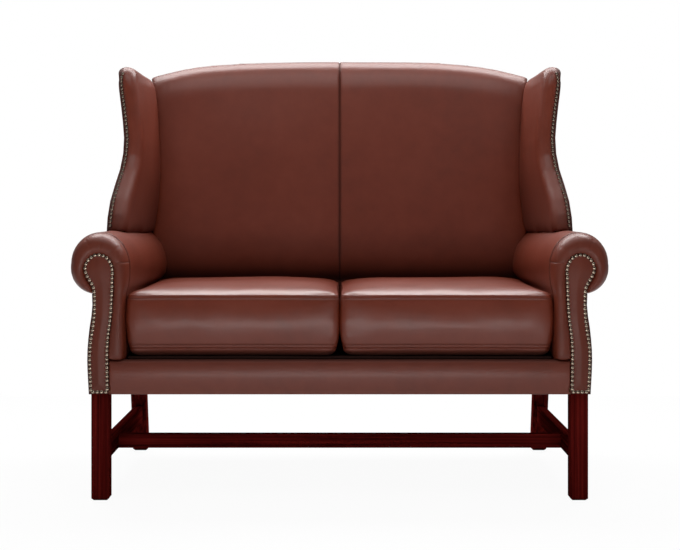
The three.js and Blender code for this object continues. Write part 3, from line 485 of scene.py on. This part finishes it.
# One attribute holds both the dark of seams and painted shade: where it is high, the leather is
# darker, rougher and less coated.
seam_and_shade = leather.attribute("seam_and_painted_shade")
tone = (mottle * 0.6 + shading * 0.5 - 0.05).clipped()
hide = tone.ramp((0.3, LEATHER_DARK), (0.5, LEATHER_MIDDLE), (0.72, LEATHER_LIGHT))
leather.wear(
    base_color=(seam_and_shade * SEAM_AND_SHADE_DARKENS).clipped().between(hide, LEATHER_SEAM_AND_SHADE),
    roughness=mottle * 0.08 + seam_and_shade * SEAM_AND_SHADE_DULLS + LEATHER_ROUGHNESS,
    coat_weight=(LEATHER_COAT - seam_and_shade * SEAM_AND_SHADE_STRIPS).clipped(),
    normal=pebbles.bump(0.22, PEBBLE_DEPTH, fine_grain.bump(0.12, FINE_GRAIN_DEPTH)),
)

SEAM_CUTS = (-1, -0.62, -0.3, -0.1, 0.1, 0.3, 0.62, 1)  # across a seam, of its half width
SEAM_ROUND = 1.4  # how its sides curve down; 1 would be straight
SEAM_SHADE_REACH = 2.5  # half widths on each side of its middle
# Painted shade darkens the back where it turns in behind the cushions, along the wings towards the
# top, and over the crest.
TUCK_TOP = 0.605  # above the floor: from there down the back turns in behind the cushions
TUCK_RUN = 0.1
TUCK_DEPTH = 0.034
TUCK_SHADE = 0.95
TUCK_SHADE_CURVE = 0.55  # below 1, so that the painted shade begins early on the turn
LEAN_RUN = 0.09  # below the crest: from there up the back leans away over the top rail
LEAN_DEPTH = 0.017
TURN_FADE = 1.5  # how fast a tuck or lean comes in as the surface turns to the front
CREST_STEP = 0.02  # the width of the columns in which a crest's height is taken
CREST_SHADE = 0.45  # painted shade over the very top, darkening and dulling its highlight
SIDE_SHADE = 0.42  # painted shade: the leather is darker along the wings, most of all towards the top
SIDE_SHADE_WIDTH = 0.13


def clamp(value):
    return min(1, max(0, value))


def cut_in(piece, places, across):
    """Cut edges into a piece along the planes through some places, all facing one way."""
    planes = ({"plane_co": place, "plane_no": across} for place in places)
    edit_mesh(piece, *((bpy.ops.mesh.bisect, plane) for plane in planes))


def darken(piece, shades):
    """Raise the attribute for seams and painted shade, at the points given by their numbers, to
    these shades.
    """
    shade_layer = piece.data.attributes.get("seam_and_painted_shade")
    shade_layer = shade_layer or piece.data.attributes.new("seam_and_painted_shade", "FLOAT", "POINT")
    for k, shade in shades:
        shade_layer.data[k].value = max(shade_layer.data[k].value, shade)


def press_seam(piece, at, across, half, depth, where=lambda vertex: True, dark=1.0):
    """Sew a seam: edges are cut in along a plane, and the leather is drawn in between them."""
    at, across = Vector(at), Vector(across).normalized()
    cut_in(piece, [at + across * half * share for share in SEAM_CUTS], across)
    moves, shades = [], []
    for vertex in piece.data.vertices:
        away = abs((vertex.co - at).dot(across)) / half
        if away < SEAM_SHADE_REACH and where(vertex):
            shades.append((vertex.index, dark * (1 - away / SEAM_SHADE_REACH) ** 2))
            if away < 1:
                moves.append((vertex, vertex.normal.copy(), (1 - away) ** SEAM_ROUND))
    for vertex, normal, share in moves:
        vertex.co -= normal * depth * share
    darken(piece, shades)


def lean_at_crest(piece, run, depth):
    """How far each point leans back: more and more over a run below the crest above it."""
    crest = {}
    for vertex in piece.data.vertices:
        column = round(vertex.co.x / CREST_STEP)
        crest[column] = max(crest.get(column, 0), vertex.co.z)
    leans = []
    for vertex in piece.data.vertices:
        up = 1 - (crest[round(vertex.co.x / CREST_STEP)] - vertex.co.z) / run
        leans.append(depth * max(0, up) ** 2 * clamp(0.3 - TURN_FADE * vertex.normal.y))
    return leans


back_low, back_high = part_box("inside_back_right")
inside_back = copy_solid("inside_back_leather", "inside_back_right")
edit_mesh(inside_back, (bpy.ops.transform.translate, {"value": (-2 * back_low.x, 0, 0)}))
shape_by(
    inside_back, "MIRROR", use_axis=(True, False, False), use_bisect_axis=(True, False, False),
    use_mirror_merge=True, merge_threshold=MERGE,
)
cover_form(inside_back, voxel=0.0065, easing=6, plump=0.0015)
swell(inside_back, amount=0.0022, size=0.22, seed=7)
tucks = []
for vertex in inside_back.data.vertices:
    down = clamp((TUCK_TOP - vertex.co.z) / TUCK_RUN)
    tucks.append(TUCK_DEPTH * down ** 3 * clamp(-TURN_FADE * vertex.normal.y))
leans = lean_at_crest(inside_back, LEAN_RUN, LEAN_DEPTH)
tops = [CREST_SHADE * max(0, vertex.normal.z) ** 2 for vertex in inside_back.data.vertices]
# Painted shade: at the tuck, along the wings and over the crest.
shades = []
for vertex, tuck, lean, top in zip(inside_back.data.vertices, tucks, leans, tops):
    vertex.co.y += tuck + lean
    aside = max(0, 1 - (back_high.x - abs(vertex.co.x)) / SIDE_SHADE_WIDTH)
    height = (vertex.co.z - TUCK_TOP) / (back_high.z - TUCK_TOP)
    tucked = TUCK_SHADE * (tuck / TUCK_DEPTH) ** TUCK_SHADE_CURVE
    shades.append(max(top, SIDE_SHADE * aside * clamp(height), tucked))
darken(inside_back, enumerate(shades))
ease(inside_back, 3)
press_seam(
    inside_back, (0, 0, 0), (1, 0, 0), half=0.0042, depth=0.0036,
    where=lambda vertex: vertex.normal.y < 0.3 and abs(vertex.normal.x) < 0.9,
)
dress(inside_back, leather.material, "leather", "inside_back_left", "inside_back_right")


# Outside back and outside arms and wings: leather stretched over card and thin wadding, with
# their edges folded under and tacked along the frame, and painted shade where they face forward.
# The wings' panels turn in at the top to meet the wings' rounded crests.
PANEL_EDGE = 0.0022
PANEL_CORNER = math.radians(50)  # a sharper turn than this is an edge
PANEL_FLAT = math.radians(0.5)  # faces that differ by less than this are made one
# Painted shade along the panels' front edges and round the wings' nails.
EDGE_SHADE = 0.9
EDGE_AREA = 0.002  # the most that one face along a front edge has
WING_ROUND = 0.03  # below the top: from there up an outside wing turns in
WING_ROUND_CUTS = (0.15, 0.4, 0.7, 1)  # shares of that, where edges are cut in for the turn
WING_ROUND_IN = 0.006
WING_ROUND_DOWN = 0.009


def stretched_panel(name, node):
    """A leather panel over a solid, its edges rounded over the card, with painted shade on its
    front edge.
    """
    piece = copy_solid(name, node)
    edit_mesh(piece, (bpy.ops.mesh.dissolve_limited, {"angle_limit": PANEL_FLAT}))
    shape_by(
        piece, "BEVEL", width=PANEL_EDGE, segments=3, limit_method="ANGLE",
        angle_limit=PANEL_CORNER, use_clamp_overlap=True,
    )
    shape_by(piece, "TRIANGULATE")
    # Painted shade on the narrow faces of the front edge.
    fronts = [f for f in piece.data.polygons if f.normal.y < -0.6 and f.area < EDGE_AREA]
    darken(piece, [(k, EDGE_SHADE) for face in fronts for k in face.vertices])
    dress(piece, leather.material, "leather", node)
    only(piece)
    bpy.ops.object.shade_smooth_by_angle(angle=PANEL_CORNER)
    return piece


stretched_panel("outside_back_leather", "outside_back")
for side in SIDES:
    stretched_panel(f"outside_arm_{side}_leather", f"outside_arm_{side}")
    outside_wing = stretched_panel(f"outside_wing_{side}_leather", f"outside_wing_{side}")
    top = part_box(f"outside_wing_{side}")[1].z
    cuts = [(0, 0, top - WING_ROUND * share) for share in WING_ROUND_CUTS]
    cut_in(outside_wing, cuts, (0, 0, 1))
    for vertex in outside_wing.data.vertices:
        up = max(0, 1 - (top - vertex.co.z) / WING_ROUND)
        vertex.co.x -= math.copysign(WING_ROUND_IN * up ** 2, vertex.co.x)
        vertex.co.z -= WING_ROUND_DOWN * up ** 2


# Arms: leather over a padded roll on the arm board, which sags a little outside, drawn in at the
# front round the facing. A band is sewn round the front of the roll, with a few pleats where it
# turns in to the facing, and a short seam between it and the upright inner face.
SCROLL_ACROSS = 0.589
SCROLL_HEIGHT = 0.58
SCROLL_SAG = 0.006  # the padding's, where the roll hangs outside and below its middle
SCROLL_SAG_FROM = 0.05  # from the scroll's middle: farther out the padding sags in full
BAND_BACK = 0.0255  # behind the front of the legs
BAND_INNER = 0.545  # where the inner face starts, from the middle
INNER_SEAM_HEIGHT = 0.582
PLEAT_DEGREES = (62, 98, 140)
PLEAT_REACH = (0.036, 0.066)
# Painted shade over what faces forward on the arm.
ARM_FRONT_SHADE = 0.32
ARM_FRONT_FADE = 1.4


def other_side(piece, name):
    """The left copy of a right-hand piece, with its own mesh."""
    twin = piece.copy()
    twin.data = piece.data.copy()
    twin.name = name
    twin.data.transform(Matrix.Scale(-1, 4, (1, 0, 0)))
    twin.data.flip_normals()
    bpy.context.scene.collection.objects.link(twin)
    return twin


def from_scroll(vertex):
    """Where a point lies from the middle of the scroll, seen from the front."""
    return Vector((vertex.co.x - SCROLL_ACROSS, vertex.co.z - SCROLL_HEIGHT))


def in_pleat(vertex, turn):
    """On the front of the roll, on one side of the scroll's middle, past the facing."""
    along = from_scroll(vertex).dot(Vector((math.cos(turn), math.sin(turn))))
    return vertex.co.y < leg_front and PLEAT_REACH[0] < along < PLEAT_REACH[1]


arm = cover_solid("arm_right_leather", "arm_pad_right", voxel=0.0052, easing=8, plump=0.001)
for vertex in arm.data.vertices:
    out = from_scroll(vertex)
    if out.x > 0 > out.y:
        diagonal = 2 * out.x * -out.y / out.length_squared
        sag = SCROLL_SAG * diagonal * min(1, out.length / SCROLL_SAG_FROM)
        vertex.co.x += sag * out.x / out.length
        vertex.co.z += sag * out.y / out.length
swell(arm, amount=0.0012, size=0.11, seed=11)
band = leg_front + BAND_BACK
press_seam(
    arm, (0, band, 0), (0, 1, 0), half=0.0045, depth=0.0035,
    where=lambda vertex: abs(vertex.normal.y) < 0.8 and vertex.co.z > back_low.z,
)
press_seam(
    arm, (0, 0, INNER_SEAM_HEIGHT), (0, 0, 1), half=0.003, depth=0.0014,
    where=lambda vertex: vertex.co.y < band and vertex.co.x < BAND_INNER, dark=0.4,
)
for degrees in PLEAT_DEGREES:
    turn = math.radians(degrees)
    press_seam(
        arm, (SCROLL_ACROSS, 0, SCROLL_HEIGHT), (-math.sin(turn), 0, math.cos(turn)),
        half=0.006, depth=0.0006, where=lambda vertex: in_pleat(vertex, turn), dark=0,
    )
# Painted shade on the arm's forward faces.
fronts = [clamp(-ARM_FRONT_FADE * vertex.normal.y) for vertex in arm.data.vertices]
darken(arm, [(k, ARM_FRONT_SHADE * front) for k, front in enumerate(fronts)])
arms = {"right": arm, "left": other_side(arm, "arm_left_leather")}
for side, piece in arms.items():
    dress(piece, leather.material, "leather", f"arm_pad_{side}")


# Wings: leather over padded posts and rails, rounded at the front edge and over the top, with
# painted shade darkening it down towards the arm and over its crest. The nails run up the front
# edge, where the cover meets the outside panel.
WING_TOP_RUN = 0.035  # below the top: from there up a wing is rounded over
WING_SHADE_RUN = 0.28  # above the wing's foot: up to there painted shade darkens the leather
WING_SHADE = 0.5
WING_LEAN_RUN = 0.06
WING_LEAN_DEPTH = 0.016
WING_CAP = 0.014  # below the top: what has swollen over the top is pressed back into this
WING_LOBE = 0.004  # how far the top stands out over the outside panel
wing_low, wing_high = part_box("wing_pad_right")


def round_off(piece, name, weights, easing, rise):
    """Round a part of a piece, by a weight for each point, and fill it out again."""
    group = piece.vertex_groups.new(name=name)
    for k, weight in enumerate(weights):
        group.add([k], weight, "REPLACE")
    ease(piece, easing, name)
    fill_out(piece, rise, name)


wing = cover_solid("wing_right_leather", "wing_pad_right", voxel=0.005, easing=7, plump=0.001)
weights = [
    clamp(2 * (0.4 - vertex.normal.x)) * (1 - max(0, vertex.normal.z)) ** 2
    for vertex in wing.data.vertices
]
round_off(wing, "roll", weights, easing=70, rise=0.006)
weights = [
    clamp(1.4 - (wing_high.z - vertex.co.z) / WING_TOP_RUN) for vertex in wing.data.vertices
]
round_off(wing, "top", weights, easing=45, rise=0.003)
ease(wing, 4)
swell(wing, amount=0.0012, size=0.12, seed=17)
leans = lean_at_crest(wing, WING_LEAN_RUN, WING_LEAN_DEPTH)
outers = [max(0, vertex.normal.x) for vertex in wing.data.vertices]
tops = [CREST_SHADE * max(0, vertex.normal.z) for vertex in wing.data.vertices]
peak = max(vertex.co.z for vertex in wing.data.vertices)
cap = wing_high.z - WING_CAP
# Painted shade: darker down towards the arm, and over the very top.
shades = []
for vertex, lean, outer, top_shade in zip(wing.data.vertices, leans, outers, tops):
    down = 1 - (vertex.co.z - wing_low.z) / WING_SHADE_RUN
    shades.append(max(top_shade, WING_SHADE * clamp(down)))
    top = clamp(1 - (wing_high.z - vertex.co.z) / WING_TOP_RUN)
    vertex.co.x += WING_LOBE * outer * top
    vertex.co.y += lean
    vertex.co.z -= max(0, vertex.co.z - cap) * (peak - wing_high.z) / (peak - cap)
darken(wing, enumerate(shades))
ease(wing, 7)
wings = {"right": wing, "left": other_side(wing, "wing_left_leather")}
for side, piece in wings.items():
    dress(piece, leather.material, "leather", f"wing_pad_{side}")


# Front border: leather over a strip of wadding on the front rail, fullest along its middle and
# turned back over the top of the rail, where painted shade darkens it under the cushions.
BORDER_FULLNESS = 0.0042
BORDER_HIGH = 0.2  # above its middle, as a share of half its height
BORDER_FACE = 0.003  # only what is this far ahead of the legs is filled out
BORDER_SHADE = 0.55  # painted shade along its top, under the cushions' front
BORDER_SHADE_FROM = 0.1  # above its middle, as a share of half its height
low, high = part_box("front_border")
border = cover_solid("front_border_leather", "front_border", voxel=0.0026, easing=8)
fullness, shades = [], []
for vertex in border.data.vertices:
    up = 2 * (vertex.co.z - low.z) / (high.z - low.z) - 1
    fullness.append(BORDER_FULLNESS * max(0, 1 - (up - BORDER_HIGH) ** 2))
    # Painted shade along the top and on the faces turned up, under the cushions.
    along_top = max(0, (up - BORDER_SHADE_FROM) / (1 - BORDER_SHADE_FROM)) ** 1.5
    shades.append(max(BORDER_SHADE * along_top, vertex.normal.z * (up > 0)))
for vertex, full in zip(border.data.vertices, fullness):
    if vertex.co.y < leg_front - BORDER_FACE:
        vertex.co.y -= full
darken(border, enumerate(shades))
dress(border, leather.material, "leather", "front_border")


# Arm facings: padded leather panels on the fronts of the arms, pulled down to the nails along
# their edges and fullest along the middle, and darkened with painted shade, most of all along the
# nails.
FACING_FULLNESS = 0.0095
FACING_ROUND = 0.044  # from the edge to where it would be fullest
FACING_RIM = 0.35  # where less than this of the normal points forward, it is the rim
FACING_FACE = 0.5  # and where more than this does, the face
NAIL_LINE = 0.0048  # from the edge
NAIL_PULL = 0.0012
NAIL_PULL_WIDTH = 0.003
# Painted shade: along the nails, and over the whole face.
NAIL_SHADE = 0.75
FACING_SHADE = 0.32


def findable(points):
    """A tree that finds the nearest of some points."""
    tree = KDTree(len(points))
    for k, point in enumerate(points):
        tree.insert(point, k)
    tree.balance()
    return tree


facings = {}
for side in SIDES:
    node = f"arm_facing_{side}"
    piece = cover_solid(f"{node}_leather", node, voxel=0.0021, easing=2)
    rim = [v.co for v in piece.data.vertices if abs(v.normal.y) < FACING_RIM]
    edge = findable([Vector((place.x, 0, place.z)) for place in rim])
    moves, shades = [], []
    for vertex in piece.data.vertices:
        if vertex.normal.y < -FACING_FACE:
            inward = edge.find(Vector((vertex.co.x, 0, vertex.co.z)))[2]
            full = FACING_FULLNESS * (1 - (1 - min(1, inward / FACING_ROUND)) ** 2)
            pull = NAIL_PULL * math.exp(-((inward - NAIL_LINE) / NAIL_PULL_WIDTH) ** 2)
            moves.append((vertex, full - pull))
            # Painted shade, darkest along the nail line.
            near = min(1, pull / NAIL_PULL + (inward < NAIL_LINE))
            shades.append((vertex.index, max(FACING_SHADE, NAIL_SHADE * near)))
    for vertex, out in moves:
        vertex.co.y -= out
    darken(piece, shades)
    ease(piece, 5)
    facings[side] = dress(piece, leather.material, "leather", node)


# Nails: brass domes, darkened with age and rubbed bright on top, driven close together round
# each facing and up the front edge of each wing, with painted shade in the leather round them.
NAIL_RADIUS = 0.00475
NAIL_RISE = 0.55  # of its radius
NAIL_SINK = 0.0003
WING_NAILS_IN = 0.0045  # farther from a wing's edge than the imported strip
EDGE_SHADE_REACH = 0.03  # painted shade from a wing's nails outwards, over its edge
HEAD_WIDTH = 0.009  # of a packed strip's head, at its foot
TOP_WIDTH = 0.55 * HEAD_WIDTH
WIDTH_SLACK = 0.00006
HEAD_HEIGHT = (0.002, 0.0032)  # the least and the most
DRIVE_FROM = 0.012  # outside a head's foot
DRIVE_LENGTH = 0.025
BRASS_DARK = (0.017, 0.012, 0.009)
BRASS_BRIGHT = (0.3, 0.235, 0.18)
BRASS_ROUGHNESS = 0.5
RUB_SHARPNESS = 22  # high, so that only the very top of a dome is bright
TARNISH_PER_METRE = 240
brass = Finish("antique_brass", {"Metallic": 1.0})
rubbed = brass.attribute("rubbed")
tarnish = brass.place.clouds(TARNISH_PER_METRE)
bright = (rubbed ** RUB_SHARPNESS + tarnish * 0.1 - 0.04).clipped()
brass.wear(
    base_color=bright.between(BRASS_DARK, BRASS_BRIGHT),
    roughness=BRASS_ROUGHNESS - rubbed * 0.2,
)

bpy.ops.mesh.primitive_uv_sphere_add(segments=12, ring_count=8, radius=NAIL_RADIUS)
nail = bpy.context.object
half_way = {"plane_co": (0, 0, 0), "plane_no": (0, 0, 1), "clear_inner": True, "use_fill": True}
edit_mesh(
    nail, (bpy.ops.mesh.bisect, half_way), (bpy.ops.transform.resize, {"value": (1, 1, NAIL_RISE)})
)
rub = nail.data.attributes.new("rubbed", "FLOAT", "POINT")
for vertex in nail.data.vertices:
    rub.data[vertex.index].value = vertex.co.z / (NAIL_RADIUS * NAIL_RISE)


def nail_places(node):
    """Where each head of a packed strip sits: the middle of its foot, and the way it faces."""
    strip = solids[node].data
    corners = {tuple(round(value, 5) for value in vertex.co) for vertex in strip.vertices}
    corners = [Vector(corner) for corner in sorted(corners)]
    tree = findable(corners)
    middles = {TOP_WIDTH: [], HEAD_WIDTH: []}
    for k, corner in enumerate(corners):
        for other, j, gap in tree.find_range(corner, HEAD_WIDTH + WIDTH_SLACK):
            for width, found in middles.items():
                if j > k and abs(gap - width) < WIDTH_SLACK:
                    found.append((corner + other) / 2)
    places = []
    for top in middles[TOP_WIDTH]:
        foot = min(middles[HEAD_WIDTH], key=lambda middle: (middle - top).length)
        if HEAD_HEIGHT[0] < (foot - top).length < HEAD_HEIGHT[1]:
            places.append((foot, (top - foot).normalized()))
    return places


def shade_nail_edge(cover, feet):
    """Painted shade in the leather round a row of nails and from there to the edge outside it."""
    row = findable(feet)
    shades = []
    for vertex in cover.data.vertices:
        foot, _, away = row.find(vertex.co)
        outside = abs(vertex.co.x) > abs(foot.x) and away < EDGE_SHADE_REACH
        shades.append(EDGE_SHADE * (outside or max(0, 1 - away / (2 * NAIL_RADIUS))))
    darken(cover, enumerate(shades))


def copy_at(original, place, way):
    """A copy with its own mesh, moved to a place with its Z axis turned some way."""
    copy = original.copy()
    copy.data = original.data.copy()
    turn = way.to_track_quat("Z", "Y").to_matrix().to_4x4()
    copy.data.transform(Matrix.Translation(place) @ turn)
    bpy.context.scene.collection.objects.link(copy)
    return copy


def joined(copies, name):
    """Many copies made one piece."""
    bpy.ops.object.select_all(action="DESELECT")
    for copy in copies:
        copy.select_set(True)
    bpy.context.view_layer.objects.active = copies[0]
    bpy.ops.object.join()
    copies[0].name = name
    return copies[0]


def drive_nails(name, node, cover, inward=0):
    """Nails at the places of a packed strip, each down on its cover."""
    surface = BVHTree.FromObject(cover, bpy.context.evaluated_depsgraph_get())
    places = nail_places(node)
    for foot, _ in places:
        foot.x -= math.copysign(inward, foot.x)
    if inward:
        shade_nail_edge(cover, [foot for foot, _ in places])
    driven = []
    for foot, out in places:
        hit = surface.ray_cast(foot + out * DRIVE_FROM, -out, DRIVE_LENGTH)[0]
        driven.append(copy_at(nail, (hit or foot) - out * NAIL_SINK, out))
    dress(joined(driven, name), brass.material, "antique_brass", node)


for side in SIDES:
    drive_nails(f"facing_nails_{side}_domes", f"facing_nails_{side}", facings[side])
    drive_nails(f"wing_nails_{side}_domes", f"wing_nails_{side}", wings[side], WING_NAILS_IN)
bpy.data.objects.remove(nail)


# Seat cushions: loose boxes of leather over feather-wrapped foam, crowned on top. A raised seam
# runs round the top of the border and a sunk one round its bottom, with stitches beside each.
SEAM_LOW = 0.02  # above the cushion's bottom
SEAM_HIGH = 0.149
STITCH_OFFSET = 0.008
STITCH_PITCH = 0.0052
STITCH_LENGTH = 0.0038
STITCH_RADIUS = 0.00045
STITCH_OUT = 0.4  # of its radius, from the leather to its middle
STITCH_ROUTE_STEPS = 720
THREAD_DARK = (0.085, 0.018, 0.01)
THREAD_LIGHT = (0.17, 0.045, 0.028)
TWIST_PER_METRE = 3000
HELD = 0.004  # from a seam or the bottom: there the filling doesn't move the cover
FILL_PRESSURE = 4
FILL_STEPS = 20
FILL_CAP = 0.0045  # the most that the filling moves the cover
CROWN_SHARE = 0.71  # of the crown's height once the filling has settled
CROWN_RUN = 0.012
cushion_low, cushion_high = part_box("seat_cushion_right")
seam_low, seam_high = cushion_low.z + SEAM_LOW, cushion_low.z + SEAM_HIGH
stitch_high, stitch_low = seam_high - STITCH_OFFSET, seam_low + STITCH_OFFSET


def is_held(vertex):
    """Near one of a cushion's two seams, on its border, or at its flat bottom."""
    beside = min(abs(vertex.co.z - seam_low), abs(vertex.co.z - seam_high)) < HELD
    return (beside and vertex.normal.z < 0.85) or vertex.co.z < cushion_low.z + HELD


def fill_cushion(piece):
    """Blow the cover up from inside, held at its seams and its flat bottom."""
    rest = [vertex.co.copy() for vertex in piece.data.vertices]
    held = piece.vertex_groups.new(name="sewn")
    held.add([vertex.index for vertex in piece.data.vertices if is_held(vertex)], 1, "REPLACE")
    modifier = piece.modifiers.new("Filling", "CLOTH")
    cloth = modifier.settings
    cloth.vertex_group_mass = held.name
    cloth.use_pressure = True
    cloth.uniform_pressure_force = FILL_PRESSURE
    cloth.effector_weights.gravity = 0
    modifier.collision_settings.use_collision = False
    modifier.point_cache.frame_start = 1
    modifier.point_cache.frame_end = FILL_STEPS
    for moment in range(1, FILL_STEPS + 1):
        bpy.context.scene.frame_set(moment)
    only(piece)
    bpy.ops.object.modifier_apply(modifier=modifier.name)
    bpy.context.scene.frame_set(1)
    for vertex, start in zip(piece.data.vertices, rest):
        step = vertex.co - start
        if step.length > FILL_CAP:
            vertex.co = start + step.normalized() * FILL_CAP


def crown(vertex):
    """1 on the top of a cushion and 0 from its seam down."""
    return clamp((vertex.co.z - seam_high) / CROWN_RUN) * max(0, vertex.normal.z)


cushion = cover_solid(
    "seat_cushion_right_leather", "seat_cushion_right", voxel=0.007, easing=1, plump=0.002
)
fill_cushion(cushion)
crown_height = max(vertex.co.z for vertex in cushion.data.vertices) - seam_high
unders = [clamp(-2 * vertex.normal.z - 0.4) for vertex in cushion.data.vertices]
darken(cushion, enumerate(unders))  # painted shade: the underside is darker and duller
for vertex in cushion.data.vertices:
    share = (vertex.co.z - seam_high) / crown_height
    if share > 0:
        vertex.co.z = seam_high + CROWN_SHARE * crown_height * (1 - (1 - share) ** 2)
shape_by(cushion, "SUBSURF", levels=1, render_levels=1)
for level, half, depth, dark in (  # the top seam's depth is below zero, so that it stands up
    (seam_high, 0.002, -0.0016, 0), (stitch_high, 0.003, 0.001, 0.3),
    (seam_low, 0.0026, 0.0016, 0.3), (stitch_low, 0.003, 0.001, 0.3),
):
    press_seam(
        cushion, (0, 0, level), (0, 0, 1), half, depth,
        where=lambda vertex: abs(vertex.normal.z) < 0.8, dark=dark,
    )
cushions = {"right": cushion, "left": other_side(cushion, "seat_cushion_left_leather")}

# One stitch is a short thread, pulled in at both ends; copies of it follow the cover's border.
bpy.ops.mesh.primitive_uv_sphere_add(segments=6, ring_count=4, radius=STITCH_RADIUS)
stitch = bpy.context.object
longer = (1, 1, STITCH_LENGTH / (2 * STITCH_RADIUS))
edit_mesh(stitch, (bpy.ops.transform.resize, {"value": longer}))
thread = Finish("brown_thread", {"Roughness": 0.55})
thread.wear(base_color=thread.place.clouds(TWIST_PER_METRE).between(THREAD_DARK, THREAD_LIGHT))


def sew_round(name, cover, level):
    """Stitches round a cushion's border at one height."""
    surface = BVHTree.FromObject(cover, bpy.context.evaluated_depsgraph_get())
    middle = sum((Vector(corner) for corner in cover.bound_box), Vector()) / 8
    reach = max(cushion_high.x - cushion_low.x, cushion_high.y - cushion_low.y)
    loop = []
    for k in range(STITCH_ROUTE_STEPS):
        turn = 2 * math.pi * k / STITCH_ROUTE_STEPS
        out = Vector((math.cos(turn), math.sin(turn), 0))
        start = Vector((middle.x, middle.y, level)) + out * reach
        hit, normal, _, _ = surface.ray_cast(start, -out)
        if hit:
            loop.append((hit, normal))
    sewn, left_over = [], 0
    for k, (here, normal) in enumerate(loop):
        step = loop[(k + 1) % len(loop)][0] - here
        while left_over < step.length:
            place = here + step.normalized() * left_over
            sewn.append(copy_at(stitch, place + normal * STITCH_RADIUS * STITCH_OUT, step))
            left_over += STITCH_PITCH
        left_over -= step.length
    return joined(sewn, name)


for seed, (side, piece) in enumerate(cushions.items()):
    node = f"seat_cushion_{side}"
    swell(piece, amount=0.0026, size=0.12, seed=23 + 8 * seed, where=crown)
    swell(
        piece, amount=0.0008, size=0.05, seed=29 + 8 * seed,
        where=lambda vertex: abs(vertex.normal.z) < 0.7,
    )
    dress(piece, leather.material, "leather", node, body=node)
    for edge, level in (("top", stitch_high), ("bottom", stitch_low)):
        seam = sew_round(f"{node}_{edge}_stitches", piece, level)
        dress(seam, thread.material, "leather", body=node)
bpy.data.objects.remove(stitch)


# Studio: a pale floor and white behind it, broad soft lights above, behind and in front, a low
# one that stands for the bright floor ahead, and a weak one on each side. The floor shows white
# but keeps the shadow.
FLOOR_WHITE = 0.95
FLOOR_SIZE = (7, 4.6)
FLOOR_MIDDLE = (0, -0.9, 0)
FLOOR_GREY = (0.7, 0.7, 0.7, 1)
WHITE = (1, 1, 1, 1)
AMBIENT = 0.05
BACKDROP_SHARE = 0.2  # of the white behind the settee, as its leather and nails mirror it


def light_path(tree):
    """Whether a camera ray looks here, and whether a mirrored or passed one does."""
    rays = tree.nodes.new("ShaderNodeLightPath").outputs
    straight, mirrored, passed = (
        Tone(tree, rays[name]) for name in ("Is Camera Ray", "Is Glossy Ray", "Is Transmission Ray")
    )
    return straight, mirrored + passed


bpy.ops.mesh.primitive_plane_add(size=1, location=(0, 0, 0))
floor = bpy.context.object
floor.data.transform(Matrix.Translation(FLOOR_MIDDLE) @ Matrix.Diagonal((*FLOOR_SIZE, 1, 1)))
floor.name = "studio_floor"
floor_paint = bpy.data.materials.new("floor_paint")
floor_paint.use_nodes = True
tree = floor_paint.node_tree
paint = tree.nodes["Principled BSDF"]
paint.inputs["Base Color"].default_value = FLOOR_GREY
paint.inputs["Roughness"].default_value = 0.9
paint.inputs["Specular IOR Level"].default_value = 0.1
straight, mirrored = light_path(tree)
seen = (straight + mirrored).clipped()
glow = seen.node("ShaderNodeEmission", {}, {"Color": WHITE, "Strength": 1})
both = tree.nodes.new("ShaderNodeMixShader")
tree.links.new((seen * FLOOR_WHITE).socket, both.inputs["Fac"])
tree.links.new(paint.outputs[0], both.inputs[1])
tree.links.new(glow.socket, both.inputs[2])
tree.links.new(both.outputs[0], tree.nodes["Material Output"].inputs["Surface"])
floor.data.materials.append(floor_paint)

world = bpy.data.worlds.new("studio_surround")
bpy.context.scene.world = world
world.use_nodes = True
tree = world.node_tree
straight, mirrored = light_path(tree)
way = Tone(tree, tree.nodes.new("ShaderNodeTexCoord").outputs["Generated"])
behind = (way.node("ShaderNodeSeparateXYZ", {}, {"Vector": way}, output="Y") * 4 - 0.4).clipped()
strength = straight * (1 - AMBIENT) + mirrored * behind * BACKDROP_SHARE + AMBIENT
tree.nodes["Background"].inputs["Color"].default_value = WHITE
tree.links.new(strength.socket, tree.nodes["Background"].inputs["Strength"])

SOFT_LIGHTS = (  # name, place, where it points, size, watts
    ("overhead_light", (0, 0.1, 2.7), (0, 0, 0.5), (3.4, 1.4), 16),
    ("rear_top_light", (0, 1.1, 2.7), (0, -0.2, 0.5), (3.4, 1.0), 132),
    ("high_front_light", (0, -1.7, 3.3), (0, 0, 0.6), (3.2, 1.2), 43),
    ("floor_light", (0, -2.9, 0.01), (0, -2.9, 1), (1.7, 1.3), 84),
    ("left_light", (-2.8, -1.6, 1.7), (0, 0, 0.6), (1.4, 2.0), 5),
    ("right_light", (2.8, -1.6, 1.7), (0, 0, 0.6), (1.4, 2.0), 5),
)
for name, place, aim, size, power in SOFT_LIGHTS:
    bpy.ops.object.light_add(type="AREA", location=place)
    lamp = bpy.context.object
    lamp.name = name
    lamp.rotation_euler = (Vector(aim) - Vector(place)).to_track_quat("-Z", "Y").to_euler()
    lamp.data.shape = "RECTANGLE"
    lamp.data.size, lamp.data.size_y = size
    lamp.data.energy = power
    lamp.visible_camera = False
bpy.context.scene.view_settings.view_transform = "Standard"
